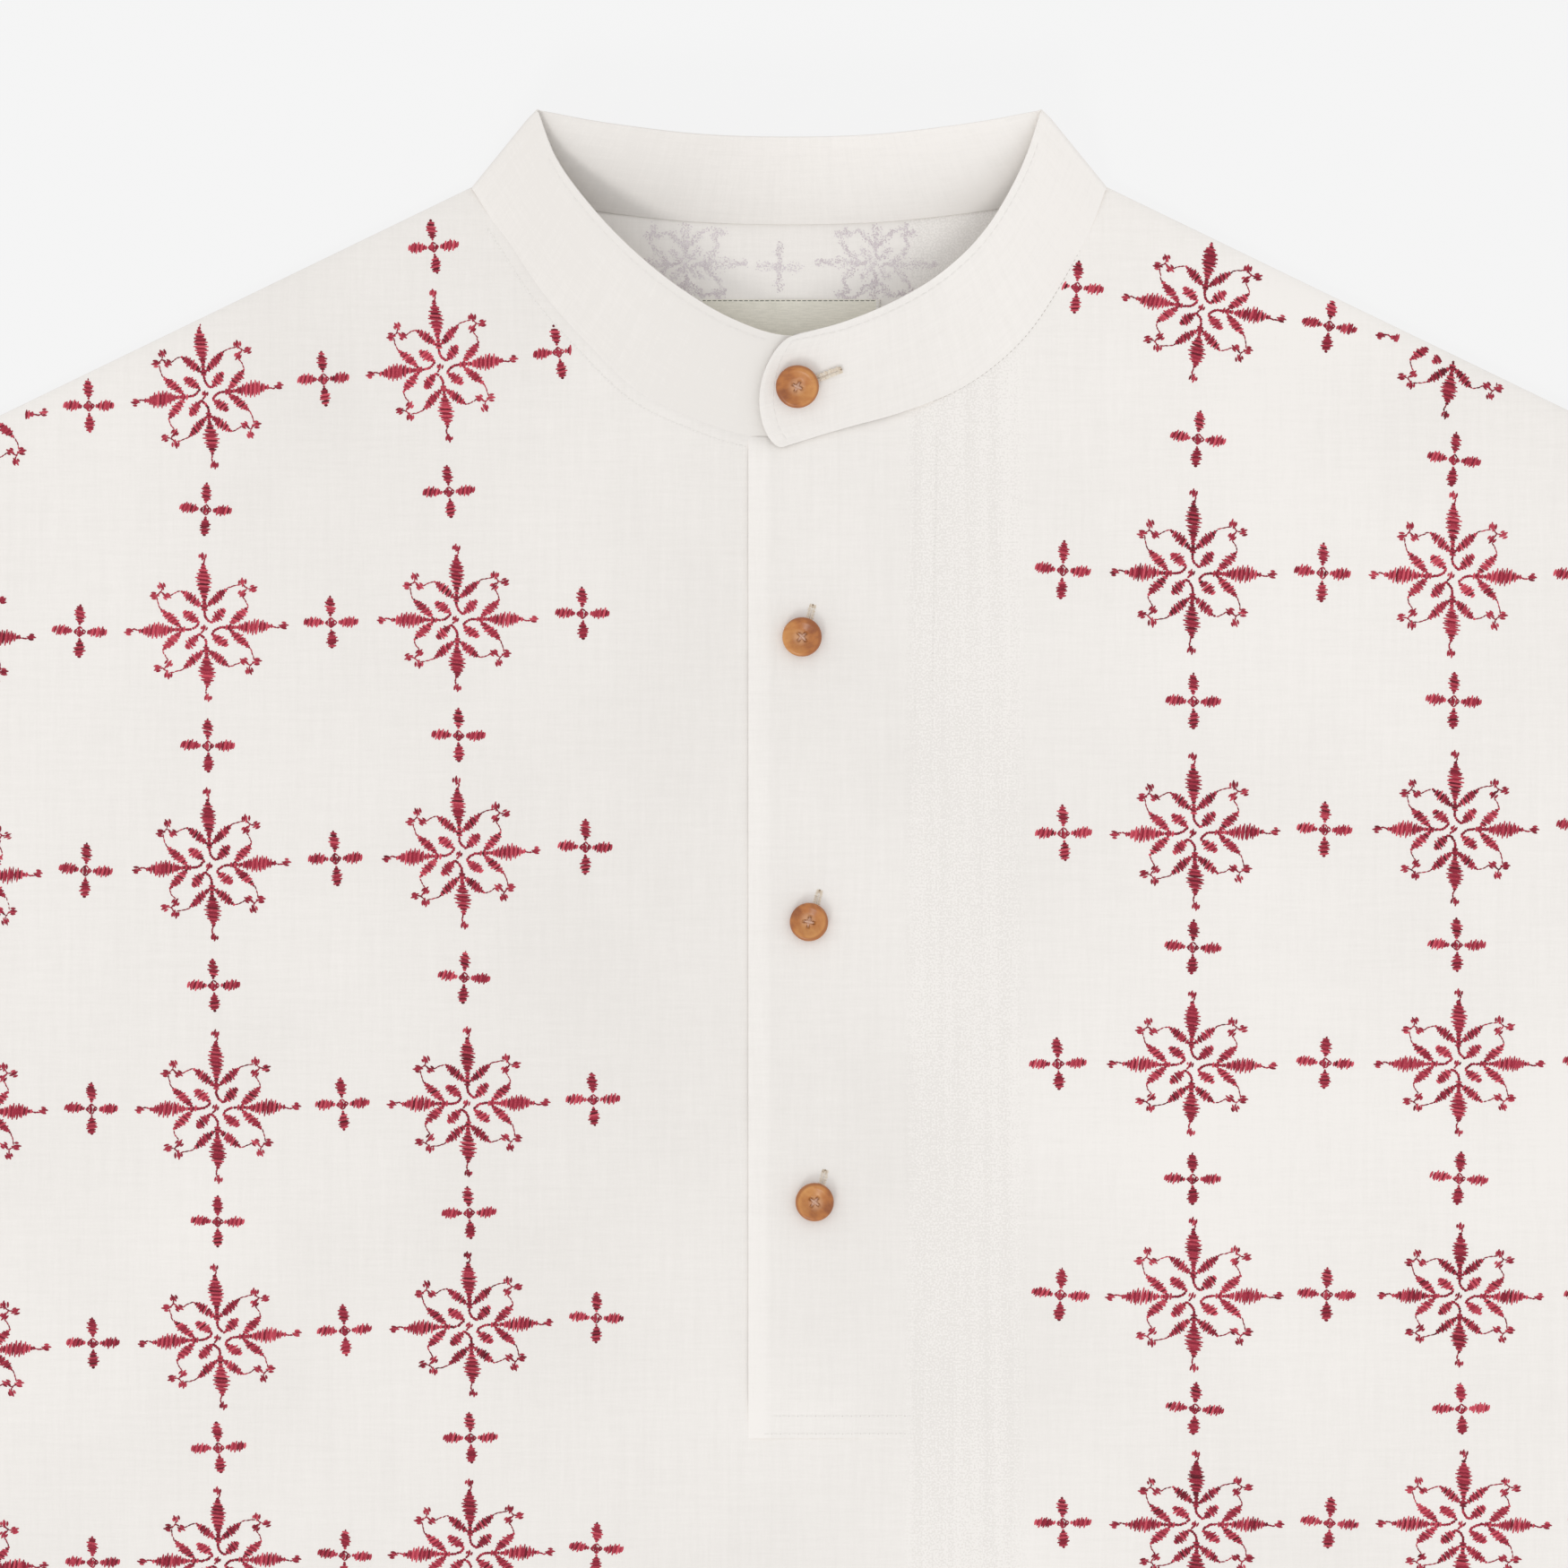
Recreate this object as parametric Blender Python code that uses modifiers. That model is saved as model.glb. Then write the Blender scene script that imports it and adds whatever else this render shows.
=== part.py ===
"""A short-sleeved linen shirt with a band collar and a buttoned half placket, laid flat on its back.

Metres, +Z up out of the cloth and +Y towards the collar. Left and right are as seen from above.
The sizes below are measured from the neck-shoulder points, which lie at y = 0 on either side of the
centre line; place() then moves the middle of the whole garment to the origin.
"""

import math
from typing import NamedTuple

import bmesh
import bpy
import numpy as np
from mathutils import Vector

MM = 0.001

# Cloth
WALL = 1.2 * MM
SEAM_GAP = 0.3 * MM
PANEL_STEP = WALL + SEAM_GAP

# Body
NECK_HALF = 95 * MM
SHOULDER_HALF = 250 * MM
SHOULDER_DROP = 75 * MM
CHEST_HALF = 290 * MM
UNDERARM_Y = -310 * MM
ARMHOLE_SCOOP = 5 * MM
HEM_Y = -740 * MM
INNER_HALF = 100 * MM

# Front opening
SLIT_LEFT = -2 * MM
SLIT_RIGHT = 30 * MM
SLIT_Y = -370 * MM
PLACKET_LEFT = -12.4 * MM
PLACKET_RIGHT = 43 * MM
PLACKET_Y = -377.5 * MM
PLACKET_CORNER_Y = -76.6 * MM

# Loft of the front over the back
PUFF = 1.5 * MM
PUFF_REACH = 60 * MM
NECK_RISE = 1.6 * MM
NECK_RISE_Y = -85 * MM
NECK_RISE_REACH = 75 * MM

# Collar
COLLAR_SET_IN = 0.7 * MM
BACK_LAP = 1.0 * MM
BACK_SEAM_Z = 1.95 * MM
FOLD_RADIUS = 0.85 * MM
FOLD_SEAM_Z = 2.65 * MM
FOLD_REACH = 13 * MM
OVER_LIFT = 3.1 * MM
OVER_LIFT_FROM = 64 * MM
OVER_LIFT_TO = 46 * MM
CORNER_BULGE = 8.8 * MM
CORNER_REACH = 20 * MM
OVER_COLUMNS = 24

# Sleeves
SLEEVE_LENGTH = 235 * MM
SLEEVE_ANGLE = math.radians(36)
SLEEVE_HEM = 190 * MM
SLEEVE_HEM_TURN = math.radians(38)
SLEEVE_PUFF = 1.4 * MM
SLEEVE_BOW = 5 * MM
SLEEVE_SET_OFF = 0.5 * MM

# Label
LABEL_HALF = 27.3 * MM
LABEL_TOP_Y = -34.2 * MM
LABEL_HEIGHT = 22 * MM
LABEL_WALL = 1.0 * MM

# Buttons
BUTTON_THICKNESS = 2.8 * MM
HOLE_RADIUS = 0.75 * MM
HOLE_SPREAD = 1.35 * MM
BUTTON_STEPS = 24

# The middle of the garment, hem to the tips of the collar folds
TOP_Y = 22.0 * MM
MIDDLE_Y = (TOP_Y + HEM_Y) / 2


class Section(NamedTuple):
    """One place round the collar, in millimetres: seam and top edge in plan, and the rise between them."""

    seam_x: float
    seam_y: float
    top_x: float
    top_y: float
    rise: float


class Fold(NamedTuple):
    """One soft fold of the front, in millimetres and degrees; a negative height is a trough."""

    x: float
    y: float
    length: float
    width: float
    turn: float
    height: float


class ButtonPlace(NamedTuple):
    """One button, in millimetres."""

    name: str
    x: float
    y: float
    diameter: float


UNDER_FRONT = (
    Section(18.0, -71.6, 21.0, -41.4, 6.0),
    Section(2.0, -76.1, 9.0, -45.4, 6.0),
    Section(-13.0, -75.1, -3.6, -45.2, 6.4),
    Section(-28.9, -70.0, -17.5, -40.4, 7.2),
    Section(-44.4, -62.6, -30.6, -32.9, 8.8),
    Section(-61.0, -47.1, -46.8, -20.2, 11.5),
    Section(-74.4, -31.8, -59.7, -6.8, 14.0),
    Section(-85.0, -15.6, -69.8, 7.2, 16.0),
    Section(-94.1, -0.7, -74.9, 21.0, 17.0),
)
BACK_NECK = (
    Section(-94.1, -0.7, -74.9, 21.0, 17.0),
    Section(-62.0, -6.0, -50.5, 16.9, 20.0),
    Section(-31.0, -9.6, -25.5, 13.9, 22.0),
    Section(0.0, -10.6, 0.0, 13.1, 22.5),
    Section(31.0, -9.6, 25.5, 13.9, 22.0),
    Section(62.0, -6.0, 50.5, 16.9, 20.0),
    Section(94.1, -0.7, 74.9, 21.0, 17.0),
)
OVER_FRONT = (
    Section(94.1, -0.7, 74.9, 21.0, 17.0),
    Section(89.4, -14.4, 70.9, 8.0, 15.5),
    Section(81.5, -29.6, 65.0, -4.4, 13.5),
    Section(70.0, -46.2, 56.6, -16.6, 11.0),
    Section(54.0, -59.4, 45.1, -27.2, 9.0),
    Section(33.7, -68.1, 30.2, -36.0, 7.5),
    Section(15.7, -73.2, 16.5, -41.6, 6.6),
    Section(-2.2, -78.8, 2.2, -45.6, 6.0),
)
FRONT_FOLDS = (
    Fold(-120, -290, 230, 16, 62, -0.5),
    Fold(-150, -215, 150, 14, 50, 0.4),
    Fold(-205, -330, 200, 18, 84, -0.5),
    Fold(170, -310, 260, 15, 92, 0.45),
    Fold(215, -230, 180, 18, 96, -0.4),
    Fold(-90, -520, 320, 30, 80, 0.6),
    Fold(110, -560, 300, 30, 97, -0.6),
)
BUTTON_PLACES = (
    ButtonPlace("button_collar", 2.4, -60.8, 13.0),
    ButtonPlace("button_upper", 3.8, -136.1, 11.9),
    ButtonPlace("button_middle", 5.9, -221.9, 11.6),
    ButtonPlace("button_lower", 7.6, -306.2, 11.6),
)

LINEN = ("linen", (0.85, 0.83, 0.80), 0.85)
LABEL_CLOTH = ("label_cloth", (0.51, 0.51, 0.43), 0.8)
HORN = ("amber_button", (0.48, 0.17, 0.042), 0.3)


def clear_scene():
    """Start from an empty file."""
    for item in list(bpy.data.objects):
        bpy.data.objects.remove(item)


def new_collection(name):
    """A collection in the scene."""
    group = bpy.data.collections.new(name)
    bpy.context.scene.collection.children.link(group)
    return group


def new_material(finish):
    """A plain material: name, colour and roughness."""
    name, colour, roughness = finish
    material = bpy.data.materials.new(name)
    material.use_nodes = True
    shader = material.node_tree.nodes["Principled BSDF"]
    shader.inputs["Base Color"].default_value = (*colour, 1.0)
    shader.inputs["Roughness"].default_value = roughness
    shader.inputs["Metallic"].default_value = 0.0
    return material


def place(x, y, z):
    """A point of the pattern in the frame of the whole garment."""
    return Vector((x, y - MIDDLE_Y, z))


def smooth_step(value):
    """0 below 0, 1 above 1, and a soft S between."""
    value = min(max(value, 0.0), 1.0)
    return value * value * (3 - 2 * value)


def smooth_rows(rows, count):
    """A table read at even steps as one smooth curve: cubic spans whose slopes come from the rows beside."""
    points = np.array(rows) * MM
    steps = np.linalg.norm(np.diff(points[:, :2], axis=0), axis=1)
    knots = np.concatenate(([0.0], np.cumsum(steps)))
    slopes = np.gradient(points, knots, axis=0)
    reach = np.linspace(0.0, knots[-1], count)
    span = np.clip(np.searchsorted(knots, reach, side="right") - 1, 0, len(knots) - 2)
    width = (knots[span + 1] - knots[span])[:, None]
    s = (reach - knots[span])[:, None] / width
    start = (1 + 2 * s) * (1 - s) ** 2 * points[span]
    start_slope = s * (1 - s) ** 2 * width * slopes[span]
    end = s * s * (3 - 2 * s) * points[span + 1]
    end_slope = s * s * (s - 1) * width * slopes[span + 1]
    return start + start_slope + end + end_slope


UNDER_SEAM = smooth_rows(UNDER_FRONT, 90)[::-1]
OVER_SEAM = smooth_rows(OVER_FRONT, 90)[::-1]


def front_neck(x):
    """The front's neck edge at x: the seam of whichever end of the collar it carries."""
    seam = UNDER_SEAM if x < SLIT_RIGHT - SEAM_GAP else OVER_SEAM
    if abs(x) >= NECK_HALF:
        return shoulder_line(x)
    y = float(np.interp(x, seam[:, 0], seam[:, 1]))
    corner = smooth_step((abs(x) - NECK_HALF + 2 * MM) / (2 * MM))
    return y * (1 - corner)


def back_neck(x):
    """The back's neck edge at x, a shallow scoop that reaches a little under the collar."""
    if abs(x) >= NECK_HALF:
        return shoulder_line(x)
    seam = smooth_rows(BACK_NECK, 60)
    y = float(np.interp(x, seam[:, 0], seam[:, 1])) + BACK_LAP
    return min(y, 0.0)


def shoulder_line(x):
    """The shoulder seam at x, a straight slope from the neck point to the sleeve."""
    share = (abs(x) - NECK_HALF) / (SHOULDER_HALF - NECK_HALF)
    return -SHOULDER_DROP * share


def half_width(y):
    """Half the body's width at y: straight sides below the underarm, the armhole's curve above it."""
    if y <= UNDERARM_Y:
        return CHEST_HALF
    share = min(max((-SHOULDER_DROP - y) / (-SHOULDER_DROP - UNDERARM_Y), 0.0), 1.0)
    scoop = ARMHOLE_SCOOP * math.sin(math.pi * share)
    return SHOULDER_HALF + (CHEST_HALF - SHOULDER_HALF) * share**2.2 - scoop


def body_x(column, y):
    """Where a column lies at height y: straight near the centre, spread with the body's width outside it."""
    if abs(column) <= INNER_HALF:
        return column
    spread = (half_width(y) - INNER_HALF) / (SHOULDER_HALF - INNER_HALF)
    return math.copysign(INNER_HALF + (abs(column) - INNER_HALF) * spread, column)


def fold_height(x, y):
    """The sum of the soft folds at a point: each is a bell across and fades out at its two ends."""
    total = 0.0
    for fold in FRONT_FOLDS:
        turn = math.radians(fold.turn)
        dx = x - fold.x * MM
        dy = y - fold.y * MM
        along = (dx * math.cos(turn) + dy * math.sin(turn)) / (fold.length / 2 * MM)
        across = (dy * math.cos(turn) - dx * math.sin(turn)) / (fold.width * MM)
        if abs(along) < 1:
            total += fold.height * MM * math.exp(-(across**2)) * (1 - along**2) ** 2
    return total


def front_lift(x, y):
    """Height of the front's underside: one step above the back at its edges, lofted between them."""
    side = smooth_step((half_width(y) - abs(x)) / PUFF_REACH)
    hem = smooth_step((y - HEM_Y) / PUFF_REACH)
    shoulder = smooth_step((shoulder_line(max(abs(x), NECK_HALF)) - y) / PUFF_REACH)
    inside = side * hem * shoulder
    neck = math.exp(-(x * x + (y - NECK_RISE_Y) ** 2) / NECK_RISE_REACH**2)
    return PANEL_STEP + inside * (PUFF + fold_height(x, y)) + NECK_RISE * neck


def grid_piece(name, across, along, point, material, wall=WALL, side=1.0, drop=None):
    """A grid with a column for each value across and a row for each value along, given its wall by Solidify.

    point(a, b) places a vertex, drop(centre) tells which faces are cut out, and edges that meet are merged.
    """
    columns = len(across) - 1
    rows = len(along) - 1
    shape = bmesh.new()
    bmesh.ops.create_grid(shape, x_segments=columns, y_segments=rows, size=1.0)
    for vertex in shape.verts:
        column = round((vertex.co.x + 1) / 2 * columns)
        row = round((vertex.co.y + 1) / 2 * rows)
        vertex.co = point(across[column], along[row])
    if drop:
        cut = [face for face in shape.faces if drop(face.calc_center_median())]
        bmesh.ops.delete(shape, geom=cut, context="FACES")
    bmesh.ops.remove_doubles(shape, verts=shape.verts, dist=0.01 * MM)
    mesh = bpy.data.meshes.new(name)
    shape.to_mesh(mesh)
    shape.free()
    mesh.shade_smooth()
    piece = bpy.data.objects.new(name, mesh)
    mesh.materials.append(new_material(material))
    SHIRT.objects.link(piece)
    solidify = piece.modifiers.new("wall", "SOLIDIFY")
    solidify.thickness = wall
    solidify.offset = side
    solidify.use_even_offset = True
    return piece


def body_columns(centre):
    """Columns from side to side: even over the shoulders, closer together where the neck edge is steep."""
    outer = np.linspace(SHOULDER_HALF, NECK_HALF, 7)[:-1]
    left = NECK_HALF - (NECK_HALF + centre[0]) * np.linspace(0, 1, 9)[:-1] ** 1.35
    right = NECK_HALF - (NECK_HALF - centre[-1]) * np.linspace(0, 1, 8)[:-1] ** 1.35
    return [*(-outer), *(-left), *centre, *right[::-1], *outer[::-1]]


def body_rows(split_y, below, above):
    """Rows of a panel: a number below 1 lies below split_y, and one above 1 lies over it."""
    return [*np.linspace(0, 1, below, endpoint=False), *np.linspace(1, 2, above)]


def panel_y(row, x, neck, split_y):
    """Height of a row: even from the hem to split_y, then spread up to the panel's top edge."""
    if row <= 1:
        return HEM_Y + (split_y - HEM_Y) * row
    return split_y + (neck(x) - split_y) * (row - 1)


def build_back():
    """The back panel, flat on the surface."""

    def point(column, row):
        y = panel_y(row, column, back_neck, SLIT_Y)
        return place(body_x(column, y), y, 0.0)

    columns = body_columns([-20 * MM, 0.0, 20 * MM])
    return grid_piece("back", columns, body_rows(SLIT_Y, 5, 11), point, LINEN)


def build_front():
    """The front panel, one piece with the slit cut out of it."""

    def point(column, row):
        y = panel_y(row, column, front_neck, SLIT_Y)
        x = body_x(column, y)
        return place(x, y, front_lift(x, y))

    def in_slit(centre):
        return SLIT_LEFT < centre.x < SLIT_RIGHT and centre.y > SLIT_Y - MIDDLE_Y

    columns = body_columns([SLIT_LEFT, (SLIT_LEFT + SLIT_RIGHT) / 2, SLIT_RIGHT])
    return grid_piece("front", columns, body_rows(SLIT_Y, 8, 17), point, LINEN, drop=in_slit)


def build_placket_under():
    """The strip that fills the slit level with the front, under the lap."""

    def point(x, row):
        top = float(np.interp(x, UNDER_SEAM[:, 0], UNDER_SEAM[:, 1]))
        y = SLIT_Y + SEAM_GAP + (top - SLIT_Y - SEAM_GAP) * row
        return place(x, y, front_lift(x, y))

    columns = np.linspace(SLIT_LEFT + SEAM_GAP, SLIT_RIGHT - SEAM_GAP, 4)
    return grid_piece("placket_under", columns, np.linspace(0, 1, 15), point, LINEN)


def over_strip_top(x):
    """Top edge of the over placket: along the over end's seam, then level to the lap's edge."""
    if x < OVER_SEAM[0, 0]:
        return PLACKET_CORNER_Y
    return min(float(np.interp(x, OVER_SEAM[:, 0], OVER_SEAM[:, 1])), PLACKET_CORNER_Y + 20 * MM)


def build_placket_over():
    """The strip on top of the front, made from the front's own points moved out."""

    def point(x, row):
        y = PLACKET_Y + (over_strip_top(x) - PLACKET_Y) * row
        return place(x, y, front_lift(x, y) + PANEL_STEP)

    seam_edge = OVER_SEAM[0, 0]
    columns = [*np.linspace(PLACKET_LEFT, seam_edge - 0.5 * MM, 4), *np.linspace(seam_edge, PLACKET_RIGHT, 6)]
    return grid_piece("placket_over", columns, np.linspace(0, 1, 17), point, LINEN)


class Station(NamedTuple):
    """One column of the collar: its middle surface at the seam and at the top edge."""

    seam: np.ndarray
    top: np.ndarray


def lapped(x):
    """How far the over end is raised clear of the under end and the strip, by its seam's x."""
    return OVER_LIFT * smooth_step((OVER_LIFT_FROM - x) / (OVER_LIFT_FROM - OVER_LIFT_TO))


def stations_of(table, count, fold_at_start, seam_height):
    """Columns of one stretch of the collar, with how near each is to the fold at its start or its end."""
    rows = smooth_rows(table, count)
    stations = []
    fold = rows[0] if fold_at_start else rows[-1]
    for row in rows:
        near = math.exp(-((math.dist(row[:2], fold[:2]) / FOLD_REACH) ** 2))
        base = seam_height(row[0], row[1])
        z = base + (FOLD_SEAM_Z - base) * near
        seam = np.array((row[0], row[1], z))
        top = np.array((row[2], row[3], z + row[4]))
        inward = (top - seam) / np.linalg.norm(top - seam)
        stations.append((Station(seam + inward * COLLAR_SET_IN, top), near))
    return stations


def fold_frame(front, back):
    """Mean normal and outward direction of a folded side, from the columns on either side of it."""
    rise = front[0].top - front[0].seam
    over = np.cross(front[1].seam - front[0].seam, rise)
    under = np.cross(back[1].seam - back[0].seam, rise)
    over *= np.sign(over[2]) / np.linalg.norm(over)
    under *= np.sign(under[2]) / np.linalg.norm(under)
    normal = (over + under) / np.linalg.norm(over + under)
    outward = np.cross(rise, normal)
    outward *= np.sign(outward[0] * front[0].seam[0]) / np.linalg.norm(outward)
    return normal, outward


def moved(station, offset):
    """A column shifted bodily."""
    return Station(station.seam + offset, station.top + offset)


def fold_arc(station, normal, outward):
    """The half turn round a folded side, from its upper layer to its lower one."""
    turns = np.radians((36, 72, 108, 144))
    return [
        moved(station, FOLD_RADIUS * (math.cos(turn) * normal + math.sin(turn) * outward))
        for turn in turns
    ]


def collar_stations():
    """Every column of the collar, from the hidden under end round the back to the over end."""
    under = stations_of(UNDER_FRONT, 21, False, lambda x, y: front_lift(x, y) + WALL / 2)
    back = stations_of(BACK_NECK, 25, True, lambda x, y: BACK_SEAM_Z)
    back_far = stations_of(BACK_NECK, 25, False, lambda x, y: BACK_SEAM_Z)
    over = stations_of(OVER_FRONT, OVER_COLUMNS, True, lambda x, y: front_lift(x, y) + WALL / 2 + lapped(x))
    middle = len(back) // 2
    left_normal, left_out = fold_frame([under[-1][0], under[-2][0]], [back[0][0], back[1][0]])
    right_normal, right_out = fold_frame([over[0][0], over[1][0]], [back_far[-1][0], back_far[-2][0]])
    columns = [moved(s, FOLD_RADIUS * near * left_normal) for s, near in under]
    columns += fold_arc(under[-1][0], left_normal, left_out)
    columns += [moved(s, -FOLD_RADIUS * near * left_normal) for s, near in back[:middle]]
    columns += [moved(s, -FOLD_RADIUS * near * right_normal) for s, near in back_far[middle:]]
    columns += fold_arc(over[0][0], right_normal, right_out)[::-1]
    columns += [moved(s, FOLD_RADIUS * near * right_normal) for s, near in over]
    return columns


def corner_bulge(seam_x, share):
    """How far the over end's rounded edge stands out to the left, by its column and its share of height."""
    near = smooth_step(1 - (seam_x - OVER_SEAM[0, 0]) / CORNER_REACH)
    return CORNER_BULGE * math.sin(math.pi * share**1.25) ** 0.85 * near


def build_collar():
    """The band collar: a strip of columns with a sharp turn at each side and a rounded over end."""
    columns = collar_stations()
    first_over = len(columns) - OVER_COLUMNS

    def point(index, share):
        station = columns[index]
        x, y, z = station.seam + (station.top - station.seam) * share
        if index >= first_over:
            x -= corner_bulge(station.seam[0], share)
        return place(x, y, z)

    shares = (0.0, 0.2, 0.4, 0.6, 0.8, 0.93, 1.0)
    return grid_piece("collar", range(len(columns)), shares, point, LINEN, side=0.0)


def sleeve_edge(share):
    """A point of the armhole, from the shoulder at 0 to the underarm at 1."""
    y = -SHOULDER_DROP + (UNDERARM_Y + SHOULDER_DROP) * share
    return np.array((half_width(y) + SLEEVE_SET_OFF, y))


def sleeve_hem(share):
    """A point of the sleeve's hem, from its upper corner at 0 to its lower corner at 1."""
    shoulder = np.array((SHOULDER_HALF, -SHOULDER_DROP))
    upper = shoulder + SLEEVE_LENGTH * np.array((math.cos(SLEEVE_ANGLE), -math.sin(SLEEVE_ANGLE)))
    down = np.array((-math.sin(SLEEVE_HEM_TURN), -math.cos(SLEEVE_HEM_TURN)))
    return upper + down * SLEEVE_HEM * share


def sleeve_plan(across, along):
    """The sleeve in plan: the armhole's curve run straight out to the hem, its upper edge bowed a little."""
    point = sleeve_edge(across) * (1 - along) + sleeve_hem(across) * along
    bow = SLEEVE_BOW * math.sin(math.pi * along) * (1 - across) ** 2
    return point + bow * np.array((math.sin(SLEEVE_ANGLE), math.cos(SLEEVE_ANGLE)))


def build_sleeve(name, hand):
    """A flattened tube: its lower layer on the surface, its upper one lofted, closed by a turn at each edge."""
    edge_height = 2 * WALL + SEAM_GAP
    across = np.linspace(0, 1, 9)
    upper = [(share, 1.0, 0.0) for share in across]
    lower = [(share, 0.0, 0.0) for share in across[::-1]]
    ring = [*upper, (1.0, 0.5, 1.0), *lower, (0.0, 0.5, -1.0), upper[0]]
    if hand < 0:
        ring = ring[::-1]

    def point(place_in_ring, along):
        share, level, turn = place_in_ring
        plan = sleeve_plan(share, along)
        outward = sleeve_plan(min(share + 0.01, 1.0), along) - sleeve_plan(max(share - 0.01, 0.0), along)
        plan = plan + turn * outward / np.linalg.norm(outward) * edge_height / 2
        puff = SLEEVE_PUFF * math.sin(math.pi * share) * smooth_step(along / 0.3)
        return place(hand * plan[0], plan[1], (edge_height + puff) * level)

    return grid_piece(name, ring, np.linspace(0, 1, 8), point, LINEN, side=-1.0)


def build_label():
    """The bare label, a small flat cloth on the inside of the back."""

    def point(x, y):
        return place(x, y, PANEL_STEP)

    columns = np.linspace(-LABEL_HALF, LABEL_HALF, 5)
    rows = np.linspace(LABEL_TOP_Y - LABEL_HEIGHT, LABEL_TOP_Y, 3)
    return grid_piece("label", columns, rows, point, LABEL_CLOTH, wall=LABEL_WALL)


def over_collar_seat(x, y, radius):
    """Height and tilt of a disc that lies on the over end's upper face, touching its highest points."""
    ends = collar_stations()[-OVER_COLUMNS // 2 :]
    rise = ends[-1].top - ends[-1].seam
    tilt = math.atan2(rise[2], rise[1])
    heights = []
    for station in ends:
        for share in np.linspace(0, 1, 21):
            point = station.seam + (station.top - station.seam) * share
            if math.hypot(point[0] - x, point[1] - y) < radius:
                heights.append(point[2] - math.tan(tilt) * (point[1] - y))
    return max(heights) + WALL / 2 / math.cos(tilt), tilt


def button_profile(radius):
    """Half outline of a button, top centre to bottom centre: a shallow dish, a round rim and a flat foot."""
    shares = (
        (0.0, 0.60),
        (0.40, 0.62),
        (0.60, 0.84),
        (0.78, 1.0),
        (0.92, 0.88),
        (1.0, 0.58),
        (0.93, 0.26),
        (0.66, 0.02),
        (0.0, 0.0),
    )
    return [(radius * across, BUTTON_THICKNESS * height) for across, height in shares]


def hole_cutter(name):
    """Four rods that cut the thread holes."""
    shape = bmesh.new()
    for turn in range(4):
        angle = math.radians(45 + 90 * turn)
        rod = bmesh.ops.create_cone(
            shape,
            cap_ends=True,
            segments=8,
            radius1=HOLE_RADIUS,
            radius2=HOLE_RADIUS,
            depth=4 * BUTTON_THICKNESS,
        )
        offset = Vector((math.cos(angle), math.sin(angle), 0)) * HOLE_SPREAD
        bmesh.ops.translate(shape, verts=rod["verts"], vec=offset)
    mesh = bpy.data.meshes.new(name)
    shape.to_mesh(mesh)
    shape.free()
    cutter = bpy.data.objects.new(name, mesh)
    cutter.hide_render = True
    cutter.display_type = "WIRE"
    CUTTERS.objects.link(cutter)
    return cutter


def build_button(spot):
    """A turned button with four holes, lying 0.3 mm above the cloth under it."""
    x = spot.x * MM
    y = spot.y * MM
    height = front_lift(x, y) + PANEL_STEP + WALL
    tilt = 0.0
    if spot.name == "button_collar":
        height, tilt = over_collar_seat(x, y, spot.diameter / 2 * MM)
    profile = button_profile(spot.diameter / 2 * MM)
    mesh = bpy.data.meshes.new(spot.name)
    links = [(i, i + 1) for i in range(len(profile) - 1)]
    mesh.from_pydata([(r, 0.0, z) for r, z in profile], links, [])
    button = bpy.data.objects.new(spot.name, mesh)
    mesh.materials.append(new_material(HORN))
    SHIRT.objects.link(button)
    button.location = place(x, y, height + SEAM_GAP / math.cos(tilt) + 0.05 * MM)
    button.rotation_euler = (tilt, 0.0, 0.0)
    screw = button.modifiers.new("turn", "SCREW")
    screw.steps = BUTTON_STEPS
    screw.render_steps = BUTTON_STEPS
    screw.use_merge_vertices = True
    screw.merge_threshold = 0.01 * MM
    screw.use_smooth_shade = True
    cutter = hole_cutter(spot.name + "_holes")
    cutter.location = button.location
    cutter.rotation_euler = button.rotation_euler
    cut = button.modifiers.new("holes", "BOOLEAN")
    cut.operation = "DIFFERENCE"
    cut.solver = "EXACT"
    cut.object = cutter
    return button


clear_scene()
SHIRT = new_collection("linen_shirt")
CUTTERS = new_collection("cutters")
build_back()
build_front()
build_placket_under()
build_placket_over()
build_collar()
build_sleeve("sleeve_left", -1)
build_sleeve("sleeve_right", 1)
build_label()
for button_place in BUTTON_PLACES:
    build_button(button_place)
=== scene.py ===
"""The looks of a short-sleeved linen shirt with a band collar, laid flat on its back.

Every piece is worked out from the shirt's cut, in metres, with +Z up out of the cloth and +Y towards the
collar. Left and right are as seen from above. Sizes are measured from the neck-shoulder points, which lie
at y = 0 on either side of the centre line, and Cut.place moves them into the frame of the solids.
"""

from __future__ import annotations

import logging
import math
from dataclasses import dataclass, field, fields
from enum import Enum
from typing import Callable, NamedTuple, Optional, Sequence, Union

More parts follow.
